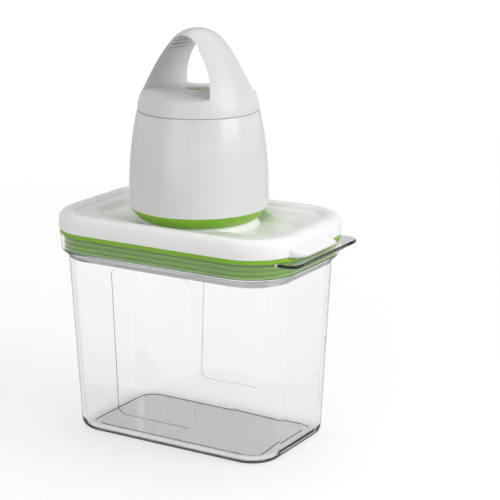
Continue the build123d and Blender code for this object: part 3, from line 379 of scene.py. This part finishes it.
def bare_metal(name, code, roughness, streak_scale, streak):
    """Plain metal with drawing or rolling streaks, drawn out by the streak scale, and the small
    stains of handling, 4 mm across."""
    material, tree, output, place = new_material(name)
    along = add_node(tree, "ShaderNodeMapping", {"Scale": streak_scale}, {"Vector": place})
    streaks = add_node(
        tree, "ShaderNodeTexNoise", {"Scale": 1 / streak, "Detail": 3.0}, {"Vector": along.outputs[0]}
    )
    stain = add_node(tree, "ShaderNodeTexNoise", {"Scale": 1 / 0.004, "Detail": 3.0}, {"Vector": place})
    colour = add_node(
        tree, "ShaderNodeMix",
        {"data_type": "RGBA", 6: linear(shade(code, 0.88)), 7: linear(shade(code, 1.06))},
        {0: stain.outputs["Fac"]},
    )
    dull = add_node(
        tree, "ShaderNodeMapRange",
        {"From Min": 0.3, "From Max": 0.7, "To Min": roughness - 0.06, "To Max": roughness + 0.1},
        {"Value": streaks.outputs["Fac"]},
    )
    relief = add_node(
        tree, "ShaderNodeBump", {"Strength": 1.0, "Distance": 0.000008}, {"Height": streaks.outputs["Fac"]}
    )
    add_node(
        tree, "ShaderNodeBsdfPrincipled", {"Metallic": 1.0},
        {"Base Color": colour.outputs[2], "Roughness": dull.outputs[0], "Normal": relief.outputs[0]},
        output,
    )
    return material


def shrunk_film_cell(node, plus_up):
    """A dry cell: metallised film, copper for 14 mm at the plus end and black below it, shrunk over
    the rim, with bare nickel-plated steel 10 mm across inside the rim at both ends."""
    low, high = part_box(node)
    rise = 1 if plus_up else -1
    material, tree, output, place = new_material("shrunk_film_" + node)
    centred = add_node(
        tree, "ShaderNodeMapping", {"Location": tuple(-(low + high) / 2)}, {"Vector": place}
    )
    parts = add_node(tree, "ShaderNodeSeparateXYZ", None, {"Vector": centred.outputs[0]})
    flat = add_node(
        tree, "ShaderNodeCombineXYZ", None, {"X": parts.outputs["X"], "Y": parts.outputs["Y"]}
    )
    radius = add_node(tree, "ShaderNodeVectorMath", {"operation": "LENGTH"}, {0: flat.outputs[0]})
    copper = add_node(
        tree, "ShaderNodeMapRange", {"From Min": rise * 0.0110, "From Max": rise * 0.0113},
        {"Value": parts.outputs["Z"]},
    )
    film = add_node(
        tree, "ShaderNodeMix", {"data_type": "RGBA", 6: linear("#15130F"), 7: linear("#D49C6C")},
        {0: copper.outputs[0]},
    )
    stain = add_node(tree, "ShaderNodeTexNoise", {"Scale": 1 / 0.0015, "Detail": 3.0}, {"Vector": place})
    steel = add_node(
        tree, "ShaderNodeMix", {"data_type": "RGBA", 6: linear("#9B9994"), 7: linear("#D8D6D1")},
        {0: stain.outputs["Fac"]},
    )
    bare = add_node(
        tree, "ShaderNodeMapRange",
        {"From Min": 0.0050, "From Max": 0.0052, "To Min": 1.0, "To Max": 0.0},
        {"Value": radius.outputs["Value"]},
    )
    colour = add_node(
        tree, "ShaderNodeMix", {"data_type": "RGBA"},
        {0: bare.outputs[0], 6: film.outputs[2], 7: steel.outputs[2]},
    )
    foil = add_node(
        tree, "ShaderNodeMapRange", {"To Min": 0.1, "To Max": 0.9}, {"Value": copper.outputs[0]}
    )
    metal = add_node(
        tree, "ShaderNodeMath", {"operation": "MAXIMUM"}, {0: bare.outputs[0], 1: foil.outputs[0]}
    )
    dull = add_node(
        tree, "ShaderNodeMapRange",
        {"From Min": 0.3, "From Max": 0.7, "To Min": 0.2, "To Max": 0.34}, {"Value": stain.outputs["Fac"]},
    )
    step = add_node(
        tree, "ShaderNodeMapRange", {"From Min": 0.0050, "From Max": 0.0053},
        {"Value": radius.outputs["Value"]},
    )
    relief = add_node(
        tree, "ShaderNodeBump", {"Strength": 1.0, "Distance": 0.00008}, {"Height": step.outputs[0]}
    )
    add_node(
        tree, "ShaderNodeBsdfPrincipled", {"Coat Weight": 0.3, "Coat Roughness": 0.1},
        {
            "Base Color": colour.outputs[2],
            "Metallic": metal.outputs[0],
            "Roughness": dull.outputs[0],
            "Normal": relief.outputs[0],
        },
        output,
    )
    return material


def masked_board(name):
    """Fibreglass circuit board under a green solder mask, with copper tracks 3.5 mm apart raised
    below it."""
    material, tree, output, place = new_material(name)
    cells = add_node(
        tree, "ShaderNodeTexVoronoi", {"distance": "MANHATTAN", "Scale": 1 / 0.0035}, {"Vector": place}
    )
    tracks = add_node(
        tree, "ShaderNodeMapRange", {"From Min": 0.42, "From Max": 0.46}, {"Value": cells.outputs["Distance"]}
    )
    colour = add_node(
        tree, "ShaderNodeMix", {"data_type": "RGBA", 6: linear("#0E4A26"), 7: linear("#1F6B34")},
        {0: tracks.outputs[0]},
    )
    relief = add_node(
        tree, "ShaderNodeBump", {"Strength": 1.0, "Distance": 0.00004}, {"Height": tracks.outputs[0]}
    )
    add_node(
        tree, "ShaderNodeBsdfPrincipled", {"Roughness": 0.28, "IOR": 1.55},
        {"Base Color": colour.outputs[2], "Normal": relief.outputs[0]}, output,
    )
    return material


def pressed_felt(name):
    """Pressed white felt: matt, with fibre clumps of 0.3 mm."""
    material, tree, output, place = new_material(name)
    fibres = add_node(
        tree, "ShaderNodeTexNoise", {"Scale": 1 / 0.0003, "Detail": 6.0, "Roughness": 0.75}, {"Vector": place}
    )
    colour = add_node(
        tree, "ShaderNodeMix", {"data_type": "RGBA", 6: linear("#CFCBC0"), 7: linear("#F2F0E9")},
        {0: fibres.outputs["Fac"]},
    )
    relief = add_node(
        tree, "ShaderNodeBump", {"Strength": 1.0, "Distance": 0.0002}, {"Height": fibres.outputs["Fac"]}
    )
    add_node(
        tree, "ShaderNodeBsdfPrincipled", {"Roughness": 0.95, "Sheen Weight": 0.4},
        {"Base Color": colour.outputs[2], "Normal": relief.outputs[0]}, output,
    )
    return material


def printed_ink(name, code):
    """Pad-printed ink: flat, and slightly broken every 0.7 mm where it lies on the plastic's grain."""
    material, tree, output, place = new_material(name)
    worn = add_node(tree, "ShaderNodeTexNoise", {"Scale": 1 / 0.0007, "Detail": 3.0}, {"Vector": place})
    colour = add_node(
        tree, "ShaderNodeMix",
        {"data_type": "RGBA", 6: linear(shade(code, 0.95)), 7: linear(code)}, {0: worn.outputs["Fac"]},
    )
    add_node(
        tree, "ShaderNodeBsdfPrincipled", {"Roughness": 0.5, "IOR": 1.5},
        {"Base Color": colour.outputs[2]}, output,
    )
    return material


def dress(material, *nodes):
    """Gives a finish to CAD nodes."""
    for name in nodes:
        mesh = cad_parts[name].data
        mesh.materials.clear()
        mesh.materials.append(material)


def deselect():
    if bpy.context.object is not None and bpy.context.object.mode != "OBJECT":
        bpy.ops.object.mode_set(mode="OBJECT")
    bpy.ops.object.select_all(action="DESELECT")


def settle(piece):
    """Applies a piece's place, turn and size to its mesh."""
    deselect()
    piece.select_set(True)
    bpy.context.view_layer.objects.active = piece
    bpy.ops.object.transform_apply(location=True, rotation=True, scale=True)


def join_as(name, pieces):
    """Joins pieces into one named object."""
    deselect()
    for piece in pieces:
        piece.select_set(True)
    bpy.context.view_layer.objects.active = pieces[0]
    bpy.ops.object.join()
    joined = bpy.context.object
    joined.name = name
    joined.data.name = name
    return joined


def merged_copy(node, name):
    """A closed copy of a CAD node's mesh, as an object of its own."""
    copy = bpy.data.objects.new(name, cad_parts[node].data.copy())
    bpy.context.scene.collection.objects.link(copy)
    deselect()
    copy.select_set(True)
    bpy.context.view_layer.objects.active = copy
    bpy.ops.object.mode_set(mode="EDIT")
    bpy.ops.mesh.select_all(action="SELECT")
    bpy.ops.mesh.remove_doubles(threshold=0.000002)
    bpy.ops.object.mode_set(mode="OBJECT")
    return copy


def arc(middle, radius, start, end, steps=14):
    """Points along an arc between two angles in degrees."""
    turns = [math.radians(start + (end - start) * step / steps) for step in range(steps + 1)]
    return [(middle[0] + radius * math.cos(turn), middle[1] + radius * math.sin(turn)) for turn in turns]


def circle(radius, steps=160):
    return arc((0, 0), radius, 0, 360, steps)[:-1]


def four_ways(quarter):
    """A closed outline from its first quarter, mirrored into the other three."""
    half = quarter + [(-x, y) for x, y in reversed(quarter)]
    return half + [(-x, -y) for x, y in half]


def lid_outline(lid, inset):
    """The collar's rounded rectangle, drawn in by an inset."""
    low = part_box("canister_body")[0]
    corner = lid.corner_radius - inset
    middle = (-low.x - lid.corner_radius, -low.y - lid.corner_radius)
    return four_ways(arc(middle, corner, 0, 90))


def recess_outline(lid, inset):
    """The finger recesses' outline, which widens to a circle round the docking ring."""
    corner = lid.recess_corner - inset
    end = arc(
        (lid.recess_half_length - lid.recess_corner, lid.recess_half_width - lid.recess_corner), corner, 0, 90
    )
    fillet_y = lid.recess_half_width + lid.moat_fillet
    fillet_x = math.sqrt((lid.moat_radius + lid.moat_fillet) ** 2 - fillet_y ** 2)
    meeting = math.degrees(math.atan2(fillet_y, fillet_x))
    flare = arc((fillet_x, fillet_y), lid.moat_fillet + inset, -90, meeting - 180)
    moat = arc((0, 0), lid.moat_radius - inset, meeting, 90, 18)[1:-1]
    return four_ways(end + flare + moat)


def stacked_block(name, levels):
    """A closed block through outlines of as many points each, from the lowest height to the highest."""
    count = len(levels[0][1])
    points = [(x, y, height) for height, outline in levels for x, y in outline]
    faces = [list(reversed(range(count)))]
    for level in range(len(levels) - 1):
        low = level * count
        for here in range(count):
            after = (here + 1) % count
            faces.append([low + here, low + after, low + count + after, low + count + here])
    faces.append([(len(levels) - 1) * count + here for here in range(count)])
    mesh = bpy.data.meshes.new(name)
    mesh.from_pydata(points, [], faces)
    block = bpy.data.objects.new(name, mesh)
    bpy.context.scene.collection.objects.link(block)
    return block


def combine(piece, other, operation):
    """Joins another block to a piece or cuts it out, and removes the block."""
    deselect()
    piece.select_set(True)
    bpy.context.view_layer.objects.active = piece
    boolean = piece.modifiers.new("combine", "BOOLEAN")
    boolean.operation = operation
    boolean.solver = "EXACT"
    boolean.object = other
    bpy.ops.object.modifier_apply(modifier=boolean.name)
    bpy.data.objects.remove(other)


def finish_piece(piece, material, body):
    piece.data.materials.clear()
    piece.data.materials.append(material)
    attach(piece, body)


class CANISTER_OT_container(bpy.types.Operator):
    """Gives the clear canister its finish"""

    bl_idname = "canister.container"
    bl_label = "Container"

    def execute(self, context):
        look = context.scene.canister_finish
        dress(clear_copolyester("clear_copolyester", look.clear_tint), "canister_body")
        return {"FINISHED"}


class CANISTER_OT_lid(bpy.types.Operator):
    """Gives the lid's gasket, dial and valve their finishes"""

    bl_idname = "canister.lid"
    bl_label = "Gasket, dial and valve"

    def execute(self, context):
        look = context.scene.canister_finish
        dress(soft_polypropylene("frosted_polypropylene", look.dial_grey, 0.46), "date_dial")
        dress(matte_silicone("gasket_silicone", look.silicone_green), "lid_gasket")
        dress(matte_silicone("valve_silicone", look.valve_green, 0.5), "valve_button", "valve_flap")
        return {"FINISHED"}


# The lid's new top starts this far above the lid's foot, where the shell is cut off
SHOULDER_RISE = 0.0028
# Height of the block that cuts the shell off, well over the border
SPARE_HEIGHT = 0.02
# How far a cutting block reaches past what it cuts, so that no two faces meet
PAST_END = 0.001
# Room left round the docking ring, so that its own surface isn't cut
RING_SPARE = 0.00002
# How far inside the docking ring's crest the top's hole lies
BORE_INSET = 0.0005


class CANISTER_OT_lid_moulding(bpy.types.Operator):
    """Models the lid's crowned border, shallow panel and finger recesses over its shell"""

    bl_idname = "canister.lid_moulding"
    bl_label = "Lid moulding"

    def execute(self, context):
        lid = context.scene.canister_lid
        look = context.scene.canister_finish
        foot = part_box("lid_gasket")[1].z
        crest = foot + lid.crest_height
        panel = crest - lid.panel_drop
        floor = panel - lid.recess_depth
        shoulder = foot + SHOULDER_RISE

        # The shell without its border and panel, but with its docking ring, tab and underside
        above = shoulder + SPARE_HEIGHT
        spare = stacked_block("spare", [(z, lid_outline(lid, 0)) for z in (shoulder, above)])
        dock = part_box("date_dial")[1].z + lid.ring_rise
        ring = [
            (z, circle(lid.ring_radius + lid.ring_lean * (dock - z) + RING_SPARE))
            for z in (shoulder - PAST_END, above + PAST_END)
        ]
        combine(spare, stacked_block("ring", ring), "DIFFERENCE")
        shell = merged_copy("lid_shell", "lid_moulding")
        combine(shell, spare, "DIFFERENCE")

        # How far each turn of the border's section is drawn in, and its height
        border = (
            (0.0, foot + 0.0008), (-0.0004, foot + 0.0003), (-0.0004, foot + 0.0052),
            (-0.0001, crest - 0.0036), (0.0006, crest - 0.0021), (0.0018, crest - 0.0009),
            (0.0034, crest - 0.0002), (0.0050, crest), (0.0068, crest - 0.0001), (0.0080, crest - 0.0005),
            (0.0087, crest - 0.0012), (0.0091, panel + 0.0008), (0.0096, panel + 0.0002), (0.0103, panel),
        )
        top = stacked_block("top", [(height, lid_outline(lid, inset)) for inset, height in border])
        recess = (
            (0.0026, floor), (0.0020, floor + 0.0002), (0.0016, floor + 0.0007),
            (0.0003, panel - 0.0011), (0.0, panel - 0.0006), (-0.0003, panel - 0.0002),
            (-0.0008, panel + 0.00003), (-0.0008, panel + 0.004),
        )
        recesses = stacked_block("recess", [(height, recess_outline(lid, inset)) for inset, height in recess])
        combine(top, recesses, "DIFFERENCE")
        bore_radius = lid.ring_radius - BORE_INSET
        ends = (foot - PAST_END, crest + PAST_END)
        combine(top, stacked_block("bore", [(z, circle(bore_radius)) for z in ends]), "DIFFERENCE")
        combine(shell, top, "UNION")
        deselect()
        shell.select_set(True)
        bpy.context.view_layer.objects.active = shell
        bpy.ops.object.shade_smooth_by_angle(angle=math.radians(32))
        white = soft_polypropylene("white_polypropylene", look.lid_white, 0.34)
        finish_piece(shell, white, "lid")
        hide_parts("lid_shell")
        return {"FINISHED"}


class CANISTER_OT_dial_numerals(bpy.types.Operator):
    """Prints the odd days round the date dial, with a tick for each even one"""

    bl_idname = "canister.dial_numerals"
    bl_label = "Dial numerals"

    def execute(self, context):
        marks = context.scene.canister_marks
        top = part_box("date_dial")[1].z
        pieces = []
        for day in range(0, marks.day_count, 2):
            angle = -2 * math.pi * day / (marks.day_count + 1)
            deselect()
            bpy.ops.object.text_add()
            numeral = bpy.context.object
            numeral.data.body = str(day + 1)
            numeral.data.align_x = "CENTER"
            numeral.data.align_y = "CENTER"
            numeral.data.size = marks.day_height * 1.35
            numeral.data.resolution_u = 3
            numeral.data.extrude = marks.ink_depth / 2
            numeral.data.offset = marks.ink_depth
            bpy.ops.object.convert(target="MESH")
            numeral = bpy.context.object
            turn = Matrix.Rotation(angle, 4, "Z")
            stand = Matrix.Translation((0, marks.day_radius, top + marks.ink_depth / 2))
            numeral.matrix_world = turn @ stand
            settle(numeral)
            pieces.append(numeral)
            bpy.ops.mesh.primitive_cube_add(size=1)
            tick = bpy.context.object
            half = Matrix.Rotation(angle - 2 * math.pi / (marks.day_count + 1), 4, "Z")
            size = Matrix.Diagonal((marks.ink_depth * 4, marks.day_height / 3, marks.ink_depth, 1))
            tick.matrix_world = half @ stand @ size
            settle(tick)
            pieces.append(tick)
        numerals = join_as("dial_numerals", pieces)
        finish_piece(numerals, printed_ink("white_pad_print", "#FBFBFA"), "dial")
        return {"FINISHED"}


class CANISTER_OT_pump(bpy.types.Operator):
    """Gives the pump's outside and its button their finishes"""

    bl_idname = "canister.pump"
    bl_label = "Pump"

    def execute(self, context):
        look = context.scene.canister_finish
        # The housing and deck take the light grey that is painted shade over their white
        shell = polished_abs("white_abs_painted_shade", look.white_abs_painted_shade, 0.2, look.moulding_wave)
        dress(shell, "pump_housing", "battery_deck")
        dress(matte_silicone("base_silicone", look.silicone_green, 0.38), "pump_seal")
        dress(polished_abs("lime_abs", look.button_lime, 0.24, look.moulding_wave), "power_button")
        dress(polished_abs("natural_abs", "#DEDFDC", 0.4, look.moulding_wave),
              "base_plate", "crank_case", "wobble_arm", "pump_head")
        dress(pressed_felt("pressed_felt"), "intake_filter")
        return {"FINISHED"}


# Thickness of the closing mark, half of which lies inside the collar
MARK_DEPTH = 0.0004


class CANISTER_OT_closing_mark(bpy.types.Operator):
    """Adds the small raised triangle and bar that show where the cap closes, on the pump's collar, in a grey
    that is painted shade
    """

    bl_idname = "canister.closing_mark"
    bl_label = "Closing mark"

    def execute(self, context):
        marks = context.scene.canister_marks
        out = Vector((math.cos(marks.mark_turn), math.sin(marks.mark_turn), 0))
        start = out * 0.1 + Vector((0, 0, marks.mark_height))
        hit, place, facing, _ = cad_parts["pump_housing"].ray_cast(start, -out)
        if not hit:
            raise RuntimeError("the closing mark found no wall")
        turn = facing.to_track_quat("Z", "Y").to_matrix().to_4x4()
        wall = Matrix.Translation(place) @ turn
        deselect()
        bpy.ops.mesh.primitive_cylinder_add(
            vertices=3, radius=marks.mark_width * 0.24, depth=MARK_DEPTH
        )
        pointer = bpy.context.object
        pointer.matrix_world = wall @ Matrix.Translation((0, marks.mark_width * 0.04, 0))
        settle(pointer)
        bpy.ops.mesh.primitive_cube_add(size=1)
        bar = bpy.context.object
        size = Matrix.Diagonal((marks.mark_width, marks.mark_width * 0.1, MARK_DEPTH, 1))
        bar.matrix_world = wall @ Matrix.Translation((0, -marks.mark_width * 0.22, 0)) @ size
        settle(bar)
        mark = join_as("closing_mark", [pointer, bar])
        bevel = mark.modifiers.new("soft edges", "BEVEL")
        bevel.width = 0.00008
        bevel.segments = 2
        bpy.ops.object.modifier_apply(modifier=bevel.name)
        # The mark's grey is painted shade, standing in for the shading round a moulded mark
        finish_piece(mark, printed_ink("closing_mark_painted_shade", "#8F918F"), "pump")
        return {"FINISHED"}


class CANISTER_OT_button_spring(bpy.types.Operator):
    """Gives the push button's coil spring a smooth copy of its own in spring steel, in place of the CAD
    spring
    """

    bl_idname = "canister.button_spring"
    bl_label = "Button spring"

    def execute(self, context):
        coil = merged_copy("button_spring", "button_coil")
        deselect()
        coil.select_set(True)
        bpy.context.view_layer.objects.active = coil
        bpy.ops.object.shade_smooth_by_angle(angle=math.radians(40))
        steel = bare_metal("spring_steel_coil", "#C4C5C8", 0.22, (1, 1, 0.06), 0.0005)
        finish_piece(coil, steel, "pump")
        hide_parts("button_spring")
        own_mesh(coil)
        return {"FINISHED"}


class CANISTER_OT_works(bpy.types.Operator):
    """Gives the cells, contacts, motor and board their finishes"""

    bl_idname = "canister.works"
    bl_label = "Works"

    def execute(self, context):
        plus_row = max(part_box(f"battery_cell_{n}")[1].z for n in range(1, 5))
        for number in range(1, 5):
            name = f"battery_cell_{number}"
            plus_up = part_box(name)[1].z > plus_row - 0.001
            dress(shrunk_film_cell(name, plus_up), name)
        dress(bare_metal("nickel_strip", "#C9C6BE", 0.28, (0.06, 1, 1), 0.0008),
              "lower_contacts", "cover_contacts")
        dress(bare_metal("spring_steel", "#C4C5C8", 0.22, (1, 1, 0.06), 0.0005),
              "contact_springs", "base_screws")
        dress(bare_metal("drawn_steel_can", "#A9ABAE", 0.32, (1, 1, 0.06), 0.0006), "motor", "motor_crank")
        dress(matte_silicone("black_rubber", "#1B1B1B", 0.55), "diaphragm", "cover_seal", "tact_switch")
        dress(masked_board("masked_board"), "circuit_board")
        return {"FINISHED"}


class CANISTER_OT_cap(bpy.types.Operator):
    """Gives the cover plate and the handle cap their finishes"""

    bl_idname = "canister.cap"
    bl_label = "Cover and cap"

    def execute(self, context):
        look = context.scene.canister_finish
        # The cover and cap take the same light grey, painted shade over their white
        dress(polished_abs("white_abs_cap", look.white_abs_painted_shade, 0.36, look.moulding_wave),
              "cover_plate", "handle_cap")
        return {"FINISHED"}


def area_light(name, place, target, size, power):
    """A soft square light that faces a target."""
    data = bpy.data.lights.new(name, "AREA")
    data.size = size
    data.energy = power
    lamp = bpy.data.objects.new(name, data)
    lamp.location = place
    lamp.rotation_euler = (Vector(target) - Vector(place)).to_track_quat("-Z", "Y").to_euler()
    bpy.context.scene.collection.objects.link(lamp)
    return lamp


class CANISTER_OT_stage(bpy.types.Operator):
    """Sets the white table, the studio round it, the lights and the camera"""

    bl_idname = "canister.stage"
    bl_label = "Stage"

    def execute(self, context):
        stage = context.scene.canister_stage
        context.scene.view_settings.view_transform = "Standard"

        deselect()
        bpy.ops.mesh.primitive_plane_add(size=8, location=(0, 0, -0.0001))
        table = bpy.context.object
        table.name = "white_table"
        settle(table)
        material, tree, output, place = new_material("matt_white_paper")
        fibre = add_node(tree, "ShaderNodeTexNoise", {"Scale": 1 / 0.002, "Detail": 3.0}, {"Vector": place})
        tint = add_node(
            tree, "ShaderNodeMix", {"data_type": "RGBA", 6: linear("#CBCBCA"), 7: linear("#D1D1D0")},
            {0: fibre.outputs["Fac"]},
        )
        paper = add_node(tree, "ShaderNodeBsdfDiffuse", None, {"Color": tint.outputs[2]})
        away = add_node(tree, "ShaderNodeVectorMath", {"operation": "LENGTH"}, {0: place})
        lack = add_node(
            tree, "ShaderNodeMapRange",
            {"From Min": 0.15, "From Max": 1.5, "To Min": 0.46, "To Max": 0.74},
            {"Value": away.outputs["Value"]},
        )
        path = add_node(tree, "ShaderNodeLightPath")
        seen = add_node(
            tree, "ShaderNodeMath", {"operation": "MAXIMUM"},
            {0: path.outputs["Is Camera Ray"], 1: path.outputs["Is Transmission Ray"]},
        )
        mirrored = add_node(
            tree, "ShaderNodeMath", {"operation": "MULTIPLY_ADD", 1: 0.3},
            {0: path.outputs["Is Glossy Ray"], 2: seen.outputs[0]},
        )
        share = add_node(
            tree, "ShaderNodeMath", {"operation": "MULTIPLY"}, {0: mirrored.outputs[0], 1: lack.outputs[0]}
        )
        glow = add_node(tree, "ShaderNodeEmission", {"Color": (1, 1, 1, 1)}, {"Strength": share.outputs[0]})
        add_node(tree, "ShaderNodeAddShader", None, {0: paper.outputs[0], 1: glow.outputs[0]}, output)
        table.data.materials.append(material)

        world = bpy.data.worlds.new("studio")
        context.scene.world = world
        world.use_nodes = True
        tree = world.node_tree
        tree.nodes.clear()
        output = add_node(tree, "ShaderNodeOutputWorld")
        direction = add_node(tree, "ShaderNodeTexCoord").outputs["Generated"]
        parts = add_node(tree, "ShaderNodeSeparateXYZ", None, {"Vector": direction})
        flags = add_node(
            tree, "ShaderNodeMapRange",
            {"From Min": 0.12, "From Max": 0.22, "To Min": 1.0, "To Max": stage.flag_level},
            {"Value": parts.outputs["Z"]},
        )
        ceiling = add_node(
            tree, "ShaderNodeMapRange", {"From Min": 0.72, "From Max": 0.85}, {"Value": parts.outputs["Z"]}
        )
        shown = add_node(
            tree, "ShaderNodeMath", {"operation": "MAXIMUM"}, {0: flags.outputs[0], 1: ceiling.outputs[0]}
        )
        path = add_node(tree, "ShaderNodeLightPath")
        sharp = add_node(
            tree, "ShaderNodeMath", {"operation": "MAXIMUM"},
            {0: path.outputs["Is Transmission Ray"], 1: path.outputs["Is Glossy Ray"]},
        )
        soft = add_node(
            tree, "ShaderNodeMix", {2: stage.room_level}, {0: sharp.outputs[0], 3: shown.outputs[0]}
        )
        level = add_node(
            tree, "ShaderNodeMix", {3: 1.0}, {0: path.outputs["Is Camera Ray"], 2: soft.outputs[0]}
        )
        add_node(
            tree, "ShaderNodeBackground", {"Color": (1, 1, 1, 1)}, {"Strength": level.outputs[0]}, output
        )

        middle = (0, 0, 0.13)
        area_light("key_light", (0.8, 0.02, 0.52), middle, 0.55, stage.key_power)
        area_light("fill_light", (-0.1, -0.93, 0.34), middle, 0.6, stage.fill_power)
        area_light("top_light", (-0.1, 0.25, 0.95), middle, 0.6, stage.top_power)

        camera_data = bpy.data.cameras.new("camera")
        camera_data.lens = stage.lens
        camera_data.sensor_width = 36
        camera_data.clip_start = 0.05
        camera_data.clip_end = 20
        camera = bpy.data.objects.new("camera", camera_data)
        camera.location = stage.camera_place
        camera.rotation_euler = (math.pi / 2 - stage.camera_tilt, 0, stage.camera_turn)
        context.scene.collection.objects.link(camera)
        context.scene.camera = camera
        return {"FINISHED"}


OPERATORS = (
    CANISTER_OT_container,
    CANISTER_OT_lid,
    CANISTER_OT_lid_moulding,
    CANISTER_OT_dial_numerals,
    CANISTER_OT_pump,
    CANISTER_OT_closing_mark,
    CANISTER_OT_button_spring,
    CANISTER_OT_works,
    CANISTER_OT_cap,
    CANISTER_OT_stage,
)


class CANISTER_PT_panel(bpy.types.Panel):
    """Lists the canister's pieces in the order that they are made"""

    bl_label = "Canister"
    bl_idname = "CANISTER_PT_panel"
    bl_space_type = "VIEW_3D"
    bl_region_type = "UI"
    bl_category = "Canister"

    def draw(self, context):
        column = self.layout.column()
        for operator in OPERATORS:
            column.operator(operator.bl_idname, text=operator.bl_label)


CLASSES = (FinishSettings, MarkSettings, LidSettings, StageSettings, *OPERATORS, CANISTER_PT_panel)


def register():
    for kind in CLASSES:
        bpy.utils.register_class(kind)
    bpy.types.Scene.canister_finish = bpy.props.PointerProperty(type=FinishSettings)
    bpy.types.Scene.canister_marks = bpy.props.PointerProperty(type=MarkSettings)
    bpy.types.Scene.canister_lid = bpy.props.PointerProperty(type=LidSettings)
    bpy.types.Scene.canister_stage = bpy.props.PointerProperty(type=StageSettings)


def unregister():
    del bpy.types.Scene.canister_stage
    del bpy.types.Scene.canister_lid
    del bpy.types.Scene.canister_marks
    del bpy.types.Scene.canister_finish
    for kind in reversed(CLASSES):
        bpy.utils.unregister_class(kind)


def main():
    register()
    bpy.ops.canister.container()
    bpy.ops.canister.lid()
    bpy.ops.canister.lid_moulding()
    bpy.ops.canister.dial_numerals()
    bpy.ops.canister.pump()
    bpy.ops.canister.closing_mark()
    bpy.ops.canister.button_spring()
    bpy.ops.canister.works()
    bpy.ops.canister.cap()
    bpy.ops.canister.stage()


if __name__ == "__main__":
    main()
